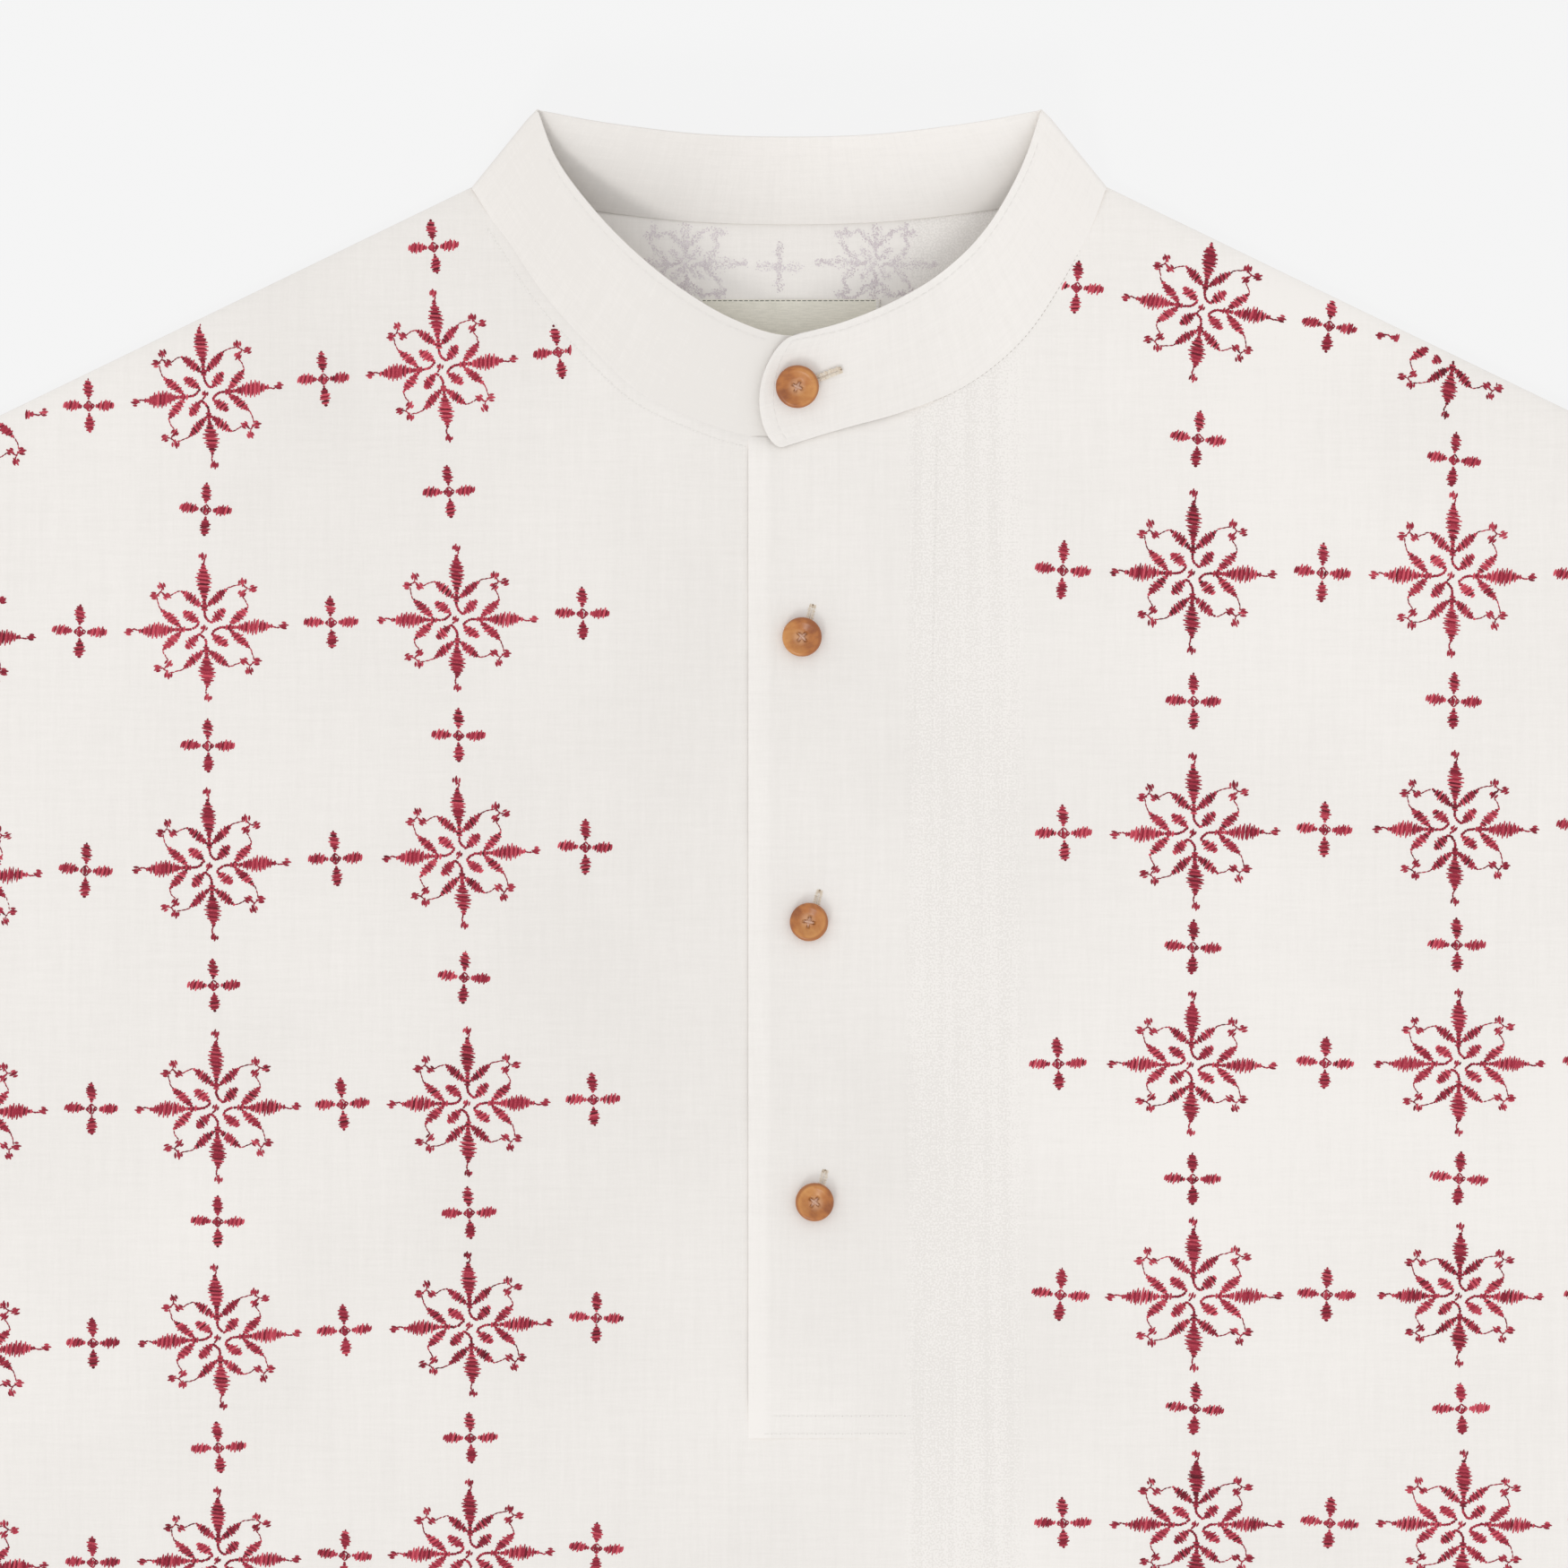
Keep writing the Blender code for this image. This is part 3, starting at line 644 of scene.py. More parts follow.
class Shader:
    """One material under construction: its tree, its surface shader and the ways to add nodes."""

    def __init__(self, name: str) -> None:
        """Starts a material with a surface shader and nothing else."""
        self.material = bpy.data.materials.new(name)
        self.material.use_nodes = True
        self.tree = self.material.node_tree
        self.tree.nodes.clear()
        self.surface = self.node("ShaderNodeBsdfPrincipled")
        self.node("ShaderNodeOutputMaterial", {}, {"Surface": self.surface.outputs[0]})

    def node(
        self,
        kind: str,
        settings: Optional[dict[str, object]] = None,
        inputs: Optional[dict[Union[str, int], Input]] = None,
    ) -> bpy.types.Node:
        """Any node: its settings first, then the values or links of its sockets.

        Args:
            kind: The node's type.
            settings: Its properties; stops gives a ramp's places and colours.
            inputs: A number, colour, socket or Value for each socket, by name or number.

        Returns:
            The node.
        """
        made = self.tree.nodes.new(kind)
        for name, setting in (settings or {}).items():
            if name == "stops":
                self.set_stops(made, setting)
            else:
                setattr(made, name, setting)
        for key, value in (inputs or {}).items():
            self.feed(made.inputs[key], value)
        return made

    def feed(self, socket: bpy.types.NodeSocket, value: Input) -> None:
        """Links a socket to a Value or another socket, or sets it to a plain value."""
        if isinstance(value, Value):
            self.tree.links.new(value.socket, socket)
        elif isinstance(value, bpy.types.NodeSocket):
            self.tree.links.new(value, socket)
        elif isinstance(value, (int, float)):
            socket.default_value = value
        else:
            wanted = len(socket.default_value)
            socket.default_value = (*value, 1.0)[:wanted] if len(value) < wanted else tuple(value)

    @staticmethod
    def set_stops(ramp: bpy.types.Node, stops: Sequence[tuple[float, Colour]]) -> None:
        """Gives a ramp its stops, each a place and a colour."""
        elements = ramp.color_ramp.elements
        while len(elements) < len(stops):
            elements.new(1.0)
        for element, (position, colour) in zip(elements, stops):
            element.position = position
            element.color = (*colour, 1.0)

    def cloth_place(self) -> bpy.types.NodeSocket:
        """The place on the flat cloth, in metres, from the piece's own map."""
        return self.node("ShaderNodeUVMap", {"uv_map": CLOTH_UV}).outputs[0]

    def tone(self) -> Value:
        """The shade that a thread was given when it was laid."""
        return Value(self, self.node("ShaderNodeAttribute", {"attribute_name": TONE}).outputs["Fac"])

    def scaled(self, vector: bpy.types.NodeSocket, scale: Sequence[float]) -> bpy.types.NodeSocket:
        """A vector times a scale along each axis."""
        return self.node("ShaderNodeVectorMath", {"operation": "MULTIPLY"}, {0: vector, 1: scale}).outputs[0]

    def split(self, vector: bpy.types.NodeSocket) -> tuple[Value, Value]:
        """The first two parts of a vector."""
        made = self.node("ShaderNodeSeparateXYZ", {}, {0: vector})
        return Value(self, made.outputs[0]), Value(self, made.outputs[1])

    def joined(self, first: Value, second: Value) -> bpy.types.NodeSocket:
        """A vector from its first two parts."""
        return self.node("ShaderNodeCombineXYZ", {}, {0: first, 1: second}).outputs[0]

    def noise(self, vector: bpy.types.NodeSocket, scale: float, detail: float = 2.0) -> Value:
        """Smooth noise about 0.5, with the given number of features for each unit of the vector."""
        settings = {"noise_dimensions": "3D"}
        made = self.node("ShaderNodeTexNoise", settings, {"Vector": vector, "Scale": scale, "Detail": detail})
        return Value(self, made.outputs[0])

    def mixed(self, factor: Input, first: Input, second: Input) -> bpy.types.NodeSocket:
        """A colour between two others."""
        settings = {"data_type": "RGBA", "clamp_factor": True}
        return self.node("ShaderNodeMix", settings, {0: factor, 6: first, 7: second}).outputs[2]

    def ramp(self, factor: Input, stops: Sequence[tuple[float, Colour]]) -> bpy.types.NodeSocket:
        """A colour read from a ramp."""
        return self.node("ShaderNodeValToRGB", {"stops": stops}, {0: factor}).outputs[0]

    def bump(self, height: Value, depth: float) -> bpy.types.NodeSocket:
        """A normal tilted by a height from 0 to 1, whose full relief is depth metres."""
        made = self.node("ShaderNodeBump", {}, {"Height": height, "Strength": 1.0, "Distance": depth})
        return made.outputs[0]

    def finish(self, **sockets: Input) -> bpy.types.Material:
        """Sets the surface shader's sockets, with _ for a space in each name, and returns the material."""
        for name, value in sockets.items():
            self.feed(self.surface.inputs[name.replace("_", " ")], value)
        return self.material


# Finishes


@dataclass(frozen=True)
class Linen:
    """Washed linen: uneven threads both ways, slubs, faint cloudy shades and a matt nap."""

    name: str = "linen_cloth"
    light: Colour = (0.911, 0.880, 0.847)
    dark: Colour = (0.825, 0.795, 0.762)
    thread: float = 0.55 * MM
    slub: float = 22 * MM
    streak: float = 3.2 * MM
    cloud: float = 1 / 9
    relief: float = 0.05 * MM
    band: tuple[float, float] = (33 * MM, 74 * MM)
    # where painted light makes the chest paler, at its right side and at its far left
    pale_right: tuple[float, float] = (20 * MM, 100 * MM)
    pale_left: tuple[float, float] = (-180 * MM, -140 * MM)
    body_u: float = -0.7
    strip_v: float = -0.9
    # right end of the painted highlight along the over strip's rolled left edge
    fold_right: float = -7.8 * MM
    collar_u: float = -1.4
    plain: float = 0.42

    def material(self) -> bpy.types.Material:
        """Two stretched noises make the threads, a longer pair the slubs, and a broad one the clouds.

        Right of the placket a band of the cloth is coarser, in dots and streaks. Painted light makes the cloth a
        little paler at both sides of the chest, and a painted highlight pales the over strip's rolled left edge.
        On the collar, painted shade darkens the left front and painted light pales the band from the middle of
        the back to the right. The strip's map lies a metre below the rest, and the collar's to the left of it, so
        that only they have those shades.
        """
        shader = Shader(self.name)
        u, v = shader.split(shader.cloth_place())
        strip = 1 - v.step(self.strip_v - 10 * MM, self.strip_v)
        place = shader.joined(u, v + strip)
        fine = 1 / self.thread
        slub = 1 / self.slub

        def stretched(across: float, up: float) -> Value:
            """Noise with so many features a metre each way."""
            return shader.noise(shader.scaled(place, (across, up, 1)), 1.0, 1.0)

        weave = (stretched(fine, fine / 9) + stretched(fine / 9, fine)) * 0.5
        slubs = (stretched(fine / 2.6, slub) + stretched(slub, fine / 2.6)) * 0.5
        cloud = shader.noise(place, 1 / self.cloud, 2.0)
        dots = shader.noise(place, fine, 0.0)
        streaks = stretched(1 / self.streak, 1 / (50 * self.streak))
        left, right = self.band
        band = u.step(left, left + 9 * MM)
        band = band * (1 - u.step(right - 12 * MM, right))
        body = u.step(self.body_u, self.body_u + 0.1)
        # painted light: paler at the right of the chest and at the body's far left
        painted_side_light = u.step(*self.pale_right) + (1 - u.step(*self.pale_left)) * body * 0.8
        # painted highlight along the over strip's rolled left edge
        fold = strip * (1 - u.step(self.fold_right, self.fold_right + 3 * MM))
        # painted shade on the collar's left front, and painted light round the band from the middle of the back to
        # the right
        start = self.collar_u
        around = (u.step(start + 0.17, start + 0.25) * 0.9 - 0.35) * u.step(start - 0.05, start - 0.01)
        around = around * (1 - u.step(start + 0.30, start + 0.41))
        threads = (weave - 0.5) * (0.8 + 1.8 * band) + (dots - 0.5) * (0.25 + 4.2 * band)
        threads = threads + (streaks - 0.5) * (0.25 + 1.1 * band) - band * 0.05
        shade = threads + (slubs - 0.5) * 0.9 + (cloud - 0.5) * 1.5
        shade = shade + painted_side_light * 0.3 + around + fold * 0.42 + self.plain
        colour = shader.mixed(shade.clipped(), self.dark, self.light)
        height = weave * 0.7 + slubs * 0.5
        return shader.finish(
            Base_Color=colour,
            Roughness=0.88,
            Specular_IOR_Level=0.25,
            Sheen_Weight=0.12,
            Sheen_Roughness=0.6,
            Normal=shader.bump(height, self.relief),
        )


@dataclass(frozen=True)
class RayonThread:
    """Embroidery thread: a soft lustre, and each stitch a shade of its own."""

    name: str
    stops: tuple[tuple[float, Colour], ...]
    roughness: float = 0.5

    def material(self) -> bpy.types.Material:
        """The stitch's own tone, moved a little by fine noise, is read from a ramp of three colours."""
        shader = Shader(self.name)
        place = shader.node("ShaderNodeTexCoord").outputs["Object"]
        fleck = shader.noise(place, 2600.0, 1.0)
        shade = shader.tone() + (fleck - 0.5) * 0.5
        return shader.finish(
            Base_Color=shader.ramp(shade.clipped(), self.stops),
            Roughness=self.roughness,
            Specular_IOR_Level=0.25,
        )


CRIMSON = RayonThread(
    "crimson_thread", ((0.0, (0.100, 0.005, 0.012)), (0.5, (0.345, 0.020, 0.046)), (1.0, (0.68, 0.095, 0.135)))
)
BOBBIN = RayonThread(
    "bobbin_thread", ((0.0, (0.65, 0.57, 0.60)), (0.5, (0.74, 0.68, 0.70)), (1.0, (0.82, 0.77, 0.78))), 0.8
)
# its dark end is used for painted shade: the needle holes and the line in the collar seam's ditch
WHITE_THREAD = RayonThread(
    "sewing_thread", ((0.0, (0.55, 0.52, 0.48)), (0.4, (0.80, 0.77, 0.74)), (1.0, (0.89, 0.865, 0.83))), 0.75
)
LABEL_THREAD = RayonThread("label_thread", ((0.0, (0.20, 0.20, 0.17)), (1.0, (0.42, 0.42, 0.37))), 0.8)
# its dark end is used for painted shade in the buttonholes' slits and dots
HOLE_THREAD = RayonThread(
    "buttonhole_thread", ((0.0, (0.34, 0.25, 0.17)), (0.5, (0.74, 0.64, 0.52)), (1.0, (0.87, 0.80, 0.70))), 0.7
)
PINK_THREAD = RayonThread(
    "button_thread", ((0.0, (0.40, 0.20, 0.12)), (0.5, (0.64, 0.40, 0.29)), (1.0, (0.80, 0.61, 0.50))), 0.7
)


@dataclass(frozen=True)
class LabelWeave:
    """A damask label with nothing on it: fine close weft lines in a grey beige."""

    name: str = "label_weave"
    light: Colour = (0.86, 0.83, 0.735)
    dark: Colour = (0.755, 0.73, 0.64)
    line: float = 0.35 * MM
    relief: float = 0.03 * MM

    def material(self) -> bpy.types.Material:
        """Noise stretched along the weft gives lines a third of a millimetre apart."""
        shader = Shader(self.name)
        place = shader.cloth_place()
        lines = shader.noise(shader.scaled(place, (300.0, 1 / self.line, 1)), 1.0, 1.0)
        grain = shader.noise(place, 1800.0, 1.0)
        shade = lines * 0.7 + grain * 0.3
        return shader.finish(
            Base_Color=shader.mixed(shade.step(0.3, 0.7), self.dark, self.light),
            Roughness=0.7,
            Normal=shader.bump(shade, self.relief),
        )


@dataclass(frozen=True)
class Horn:
    """Polished amber horn: a light side, a dark side and a faint vein, over a paler middle."""

    name: str = "amber_horn"
    dark: Colour = (0.26, 0.070, 0.016)
    body: Colour = (0.47, 0.165, 0.036)
    light: Colour = (0.63, 0.29, 0.083)
    middle: Colour = (0.66, 0.37, 0.205)
    rim: Colour = (0.34, 0.10, 0.020)

    def material(self) -> bpy.types.Material:
        """The map holds the place on the disc in radii, turned so that the light side is at +u."""
        shader = Shader(self.name)
        place = shader.cloth_place()
        u, v = shader.split(place)
        radius = (u * u + v * v) ** 0.5
        cloud = shader.noise(place, 1.3, 3.0)
        vein = shader.noise(shader.scaled(place, (1.2, 5.0, 1)), 1.0, 2.0)
        side = u * 0.42 + (cloud - 0.5) * 1.5 + (vein - 0.5) * 0.5 + 0.5
        colour = shader.ramp(side.clipped(), ((0.0, self.dark), (0.45, self.body), (1.0, self.light)))
        colour = shader.mixed((1 - radius.step(0.12, 0.5)) * 0.75, colour, self.middle)
        colour = shader.mixed(radius.step(0.86, 1.0) * 0.8, colour, self.rim)
        return shader.finish(
            Base_Color=colour,
            Roughness=0.34 + (vein - 0.5) * 0.1,
            Subsurface_Weight=0.0,
            Coat_Weight=0.2,
            Coat_Roughness=0.35,
        )


@dataclass(frozen=True)
class FloorPaint:
    """A plain pale surface, with a little light of its own so that shadows on it stay faint."""

    name: str = "pale_floor"
    colour: Colour = (0.80, 0.80, 0.80)
    glow: Colour = (0.913, 0.913, 0.913)
    glow_share: float = 0.90

    def material(self) -> bpy.types.Material:
        """A matt colour over an even glow, both cut so that together they come out as the glow's colour."""
        shader = Shader(self.name)
        return shader.finish(
            Base_Color=tuple(part * (1 - self.glow_share) for part in self.glow),
            Roughness=0.95,
            Specular_IOR_Level=0.0,
            Emission_Color=self.glow,
            Emission_Strength=self.glow_share,
        )


# Stitches


class Side(Enum):
    """Which way a stitched surface faces."""

    UP = 1.0
    DOWN = -1.0


@dataclass
class Places:
    """Where the copies of a motif go, in metres: centre, turn in radians, and size across and up."""

    at: Array
    turn: Array
    size: Array


@dataclass(frozen=True)
class Hand:
    """How unevenly the work is done: spread of a motif's size and turn, of a stitch's ends and of the tones."""

    size: float = 0.012
    star_turn: float = 0.012
    cross_turn: float = 0.04
    wander: float = 0.08 * MM
    motif_tone: float = 0.04
    stitch_tone: float = 0.15


HAND = Hand()


@dataclass
class Stitches:
    """Many straight stitches in plan, in the units of whoever lays them: two ends, width, height, tone."""

    start: Array
    end: Array
    width: Union[Array, float]
    height: Union[Array, float]
    tone: Union[Array, float]

    def __post_init__(self) -> None:
        """Gives each stitch a width, height and tone of its own, where one number stands for all."""
        for name in ("width", "height", "tone"):
            setattr(self, name, np.broadcast_to(getattr(self, name), len(self.start)))

    @staticmethod
    def joined(parts: Sequence["Stitches"]) -> "Stitches":
        """All the stitches of several sets as one."""
        return Stitches(*(np.concatenate([getattr(part, item.name) for part in parts]) for item in fields(Stitches)))

    def kept(self, mask: Array) -> "Stitches":
        """Only the stitches that the mask names."""
        return Stitches(*(getattr(self, item.name)[mask] for item in fields(self)))

    def turned(self, degrees: float, scale: float = 1.0, offset: Sequence[float] = (0.0, 0.0)) -> "Stitches":
        """The same stitches turned about the origin, scaled and moved."""
        angle = math.radians(degrees)
        turn = scale * np.array([[math.cos(angle), math.sin(angle)], [-math.sin(angle), math.cos(angle)]])
        ends = (self.start @ turn + offset, self.end @ turn + offset)
        return Stitches(*ends, self.width * scale, self.height * scale, self.tone)

    def repeated(self, places: "Places", rng: np.random.Generator) -> "Stitches":
        """A copy at each place, scaled, turned and worked with a hand that varies.

        Each copy's stitches are scaled, turned by its angle and moved to its centre. Then each end is moved a
        little at random, and each copy and each stitch gets its own shift of tone.

        Args:
            places: Where the copies go.
            rng: Where the random numbers come from.

        Returns:
            All the copies.
        """
        count = len(places.at)
        cos, sin = np.cos(places.turn), np.sin(places.turn)
        turn = np.stack([np.stack([cos, sin], -1), np.stack([-sin, cos], -1)], -2)
        size = places.size * MM * rng.normal(1.0, HAND.size, (count, 1))
        ends = []
        for points in (self.start, self.end):
            copies = np.einsum("nsk,nkj->nsj", points * size[:, None, :], turn) + places.at[:, None, :]
            ends.append((copies + rng.normal(0.0, HAND.wander, copies.shape)).reshape(-1, 2))
        shade = self.tone + rng.normal(0.0, HAND.motif_tone, (count, 1))
        shade = shade + rng.normal(0.0, HAND.stitch_tone, (count, len(self.tone)))
        return Stitches(*ends, np.tile(self.width * MM, count), np.tile(self.height * MM, count), shade.ravel())

    def dotted(self, spots: int, size: float, rng: np.random.Generator) -> "Stitches":
        """Small dots strewn along each stitch, as its wrong side shows through the cloth.

        Args:
            spots: How many dots a stitch gives.
            size: Length and width of a dot.
            rng: Where the random numbers come from.

        Returns:
            The dots, as very short stitches.
        """
        span = np.repeat(self.end - self.start, spots, axis=0)
        at = np.repeat((self.start + self.end) / 2, spots, axis=0)
        at = at + span * rng.uniform(-0.5, 0.5, (len(at), 1)) + rng.normal(0, size, at.shape)
        reach = unit(span) * size / 2
        tone = np.repeat(self.tone, spots) + rng.normal(0, HAND.stitch_tone, len(at))
        return Stitches(at - reach, at + reach, size, 0.1 * MM, tone)


SATIN_HALF = 0.53
SATIN_RAGGED = (1.13, 0.87)
# how much lighter and darker alternate satin stitches are painted, as the light and shade of the ribs
SATIN_RIB_LIGHT_AND_SHADE = 0.19
SATIN_COVER = 1.20
SATIN_HEIGHT = 0.34
LINE_POINTS = 24
LINE_LAP = 0.12
LINE_HEIGHT = 0.22
KNOT_HEIGHT = 0.3
KNOT_STITCHES = ((0.72, 0.12, -0.10), (1.00, -0.10, 0.08), (0.95, 0.14, -0.02), (0.60, -0.06, 0.10))


def satin(
    spine: Sequence[Sequence[float]],
    width: float,
    fullest: float = 0.5,
    point: float = 0.8,
    least: float = 0.35,
    slant: float = 12.0,
    pitch: float = 0.70,
    tone: float = 0.5,
) -> Stitches:
    """A leaf or petal in satin stitch, in millimetres, worked from one end of its spine to the other.

    The half width at share s of the spine is that of a sine of pi times s to a power chosen so that it is
    widest at the fullest share, the sine itself raised to point. A stitch runs from edge to edge, leaning by
    slant from the square. Every second one is longer and lighter, the next shorter and darker: the lengths
    make the ragged edge, and the tones are painted light and shade that make the ribs.

    Args:
        spine: The ends of the spine, and points between if it bends.
        width: Greatest width.
        fullest: Share of the spine where it is widest.
        point: Below 1 the ends are round, above 1 they are drawn out.
        least: Least half width.
        slant: Degrees from the square, towards the spine's end.
        pitch: Distance between stitches along the spine.
        tone: Shade of the leaf.

    Returns:
        The stitches.
    """
    line = resampled(np.array(spine, float), pitch)
    middles = (line[:-1] + line[1:]) / 2
    ahead = unit(np.diff(line, axis=0))
    number = np.arange(len(middles))
    share = (number + 0.5) / len(middles)
    half = width * SATIN_HALF * np.sin(math.pi * share ** (math.log(0.5) / math.log(fullest))) ** point
    half = np.maximum(half, least)
    lean = math.radians(slant)
    across = left_of(ahead) * math.cos(lean) + ahead * math.sin(lean)
    reach = (half * np.choose(number % 2, SATIN_RAGGED))[:, None] * across
    # painted light and shade: alternate stitches lighter and darker, for the ribs
    shade = tone + SATIN_RIB_LIGHT_AND_SHADE * (1 - 2 * (number % 2))
    height = SATIN_HEIGHT * np.clip(half, 0.6, 1.0)
    return Stitches(middles - reach, middles + reach, pitch * SATIN_COVER, height, shade)


def thread_line(
    points: Sequence[Sequence[float]], width: float = 0.52, step: float = 1.3, tone: float = 0.42
) -> Stitches:
    """A thin line of running stitches along a curve through points, in millimetres.

    Args:
        points: Points of the curve, taken as a smooth curve where there are three or more.
        width: Width of the thread.
        step: Length of a stitch.
        tone: Shade of the thread.

    Returns:
        The stitches, which overlap a little so that the line is whole.
    """
    curve = np.array(points, float)
    if len(curve) > 2:
        curve = smooth_rows(curve, LINE_POINTS, scale=1.0)
    line = resampled(curve, step)
    lap = unit(np.diff(line, axis=0)) * LINE_LAP
    return Stitches(line[:-1] - lap, line[1:] + lap, width, LINE_HEIGHT, tone)


def knot(x: float, y: float, turn: float, size: float = 2.3, tone: float = 0.52) -> Stitches:
    """A small ragged knot: four short stitches side by side, each with a length, a shift and a tone."""
    length, shift, shade = np.array(KNOT_STITCHES).T
    row = (np.arange(len(length)) - 1.5) * 0.25
    start = np.stack([shift - length / 2, row], axis=1) * size
    end = np.stack([shift + length / 2, row + 0.12], axis=1) * size
    return Stitches(start, end, 0.30 * size, KNOT_HEIGHT, tone + shade).turned(turn, offset=(x, y))


class Arm(NamedTuple):
    """One of the star's four arms, in millimetres: its long leaf and the knot past it."""

    turn: float
    leaf_end: float
    leaf_width: float
    knot_reach: float
    tone: float


@dataclass(frozen=True)
class StarFlower:
    """The star: four arms of leaves, four petals between them and a sprig at each corner, in millimetres."""

    pitch: float = 0.70
    arms: tuple[Arm, ...] = (
        Arm(0, 22.6, 4.3, 25.0, 0.44),
        Arm(-90, 20.8, 4.9, 24.2, 0.56),
        Arm(180, 20.3, 4.7, 23.9, 0.46),
        Arm(90, 20.6, 5.0, 23.7, 0.58),
    )
    junction: float = 7.1
    sink: float = 0.5

    def arm(self, arm: Arm) -> Stitches:
        """One arm, pointing up: long leaf, knot, two side leaves, petal with its stem, and corner sprig."""
        join = self.junction
        end = arm.leaf_end
        tip = arm.knot_reach
        tone = arm.tone
        pitch = self.pitch
        left = [(-0.2, join), (-3.3, join + 3.0), (-7.0, join + 6.4)]
        right = [(0.2, join), (3.5, join + 2.9), (7.4, join + 6.5)]
        parts = [
            satin([(0, join + 0.4), (0.1, end)], arm.leaf_width, 0.60, 1.0, 0.7, 8, pitch, tone),
            thread_line([(0.1, end - 0.4), (0.7, (end + tip) / 2), (0.25, tip - 0.5)], 0.55, 0.9),
            knot(0.1, tip, 70, 2.4),
            satin(left, 3.0, 0.54, 0.85, 0.35, -14, pitch, tone),
            satin(right, 2.9, 0.54, 0.85, 0.35, 14, pitch, tone - 0.04),
            satin([(0.0, join + 1.2), (-0.1, join - 1.6)], 1.9, 0.4, 0.6, 0.5, 6, pitch, tone - 0.08),
            thread_line([(-0.1, join - 1.4), (0.0, 4.4), (0.8, 2.9), (2.0, 1.9)], 0.9, 0.8),
            satin([(2.0, 1.9), (4.0, 4.1), (6.3, 6.5)], 3.3, 0.60, 0.58, 0.45, 10, pitch, tone + 0.05),
            *self.sprig(),
        ]
        return Stitches.joined(parts).turned(arm.turn)

    def sprig(self) -> list[Stitches]:
        """The corner sprig up and right of the middle: three knots, the fork between and the vines to them."""
        fork = (13.3, 13.3)
        return [
            knot(12.2, 15.4, 75, 2.5),
            knot(15.3, 12.9, 10, 2.4),
            knot(11.8, 11.4, 40, 2.4),
            thread_line([(12.3, 14.7), fork, (14.6, 13.0)], 0.5, 1.1),
            thread_line([fork, (12.4, 12.0)], 0.5, 1.1),
            thread_line([(7.3, 13.7), (9.8, 14.4), (11.6, 14.6)], 0.42, 1.3),
            thread_line([(13.4, 7.2), (12.9, 8.9), (11.9, 10.4)], 0.42, 1.3),
        ]

    def stitches(self) -> Stitches:
        """The whole star, with the small knot in its middle."""
        middle = [knot(-0.3, 0.1, 60, 2.0), thread_line([(-0.5, -0.4), (-1.4, -1.5)], 0.7, 0.8)]
        whole = Stitches.joined([*(self.arm(arm) for arm in self.arms), *middle])
        return whole.turned(0, offset=(0.0, -self.sink))


@dataclass(frozen=True)
class SmallCross:
    """The small cross between the stars: four satin petals round a little lozenge, in millimetres."""

    pitch: float = 0.68
    inner: float = 2.3
    reach: float = 8.4
    petal: float = 3.5

    def stitches(self) -> Stitches:
        """Two slim petals up and down, two fuller ones across, and a thread lozenge with a knot in it."""
        inner = self.inner
        reach = self.reach
        pitch = self.pitch
        corner = inner - 0.5
        ring = [(0, corner), (corner, 0), (0, -corner), (-corner, 0), (0, corner)]
        parts = [
            satin([(0, inner), (0.1, reach + 1.0)], self.petal - 0.3, 0.50, 0.75, 0.35, 12, pitch, 0.46),
            satin([(0, -inner), (-0.1, -reach - 0.6)], self.petal - 0.3, 0.58, 0.65, 0.35, -8, pitch, 0.42),
            satin([(inner, 0), (reach, -0.2)], self.petal, 0.56, 0.42, 0.5, 12, pitch, 0.58),
            satin([(-inner, 0.1), (-reach, 0.9)], self.petal, 0.58, 0.42, 0.5, 12, pitch, 0.6),
            *(thread_line([ring[i], ring[i + 1]], 0.5, 1.2) for i in range(4)),
            knot(-0.1, -0.2, 70, 2.6, 0.44),
        ]
        return Stitches.joined(parts)


STITCH_STATIONS = (0.0, 0.5, 1.0)
STITCH_WIDTHS = (0.64, 1.0, 0.64)
STITCH_SWELL = (0.35, 1.0, 0.35)
STITCH_SINK = (-0.05 * MM, 0.05 * MM, -0.05 * MM)
STITCH_ROUND = ((-1.0, 0.0, 1.0), (0.0, 1.0, 0.0))
STITCH_FLAT = ((-1.0, 1.0), (0.4, 0.4))


def stitch_mesh(
    name: str,
    stitches: Stitches,
    surface: Surface,
    side: Side = Side.UP,
    rounded: bool = True,
) -> bpy.types.Object:
    """Stitches laid on a surface that faces up or down.

    Each is a strip with three stations along it and three points across (two when flat). It narrows by a
    third at its ends, its crest stands up by its height in the middle, and its ends sink a little into the
    cloth.

    Args:
        name: The object's name.
        stitches: The stitches, in metres.
        surface: Gives points of the face of the cloth in the frame from x and y of the pattern.
        side: Which way the face points.
        rounded: Whether each strip has a crest.

    Returns:
        The new object.
    """
    reach = stitches.end - stitches.start
    aside = left_of(unit(reach))
    across, crest = np.array(STITCH_ROUND if rounded else STITCH_FLAT)
    line = stitches.start[:, None, :] + np.array(STITCH_STATIONS)[:, None] * reach[:, None, :]
    spread = (stitches.width / 2)[:, None, None] * np.array(STITCH_WIDTHS)[:, None] * across
    plan = line[:, :, None, :] + spread[..., None] * aside[:, None, None, :]
    swell = np.array(STITCH_SWELL)[:, None] * crest
    lift = np.array(STITCH_SINK)[:, None] + stitches.height[:, None, None] * swell
    points = surface(plan[..., 0], plan[..., 1])
    points[..., 2] += side.value * lift
    per = len(STITCH_STATIONS) * len(across)
    quads = repeated_quads(grid_quads(len(STITCH_STATIONS), len(across)), len(line), per)
    if side is Side.UP:
        quads = quads[:, ::-1]
    return put_mesh(name, points.reshape(-1, 3), quads, tone=np.repeat(stitches.tone, per))


# Shared dressing


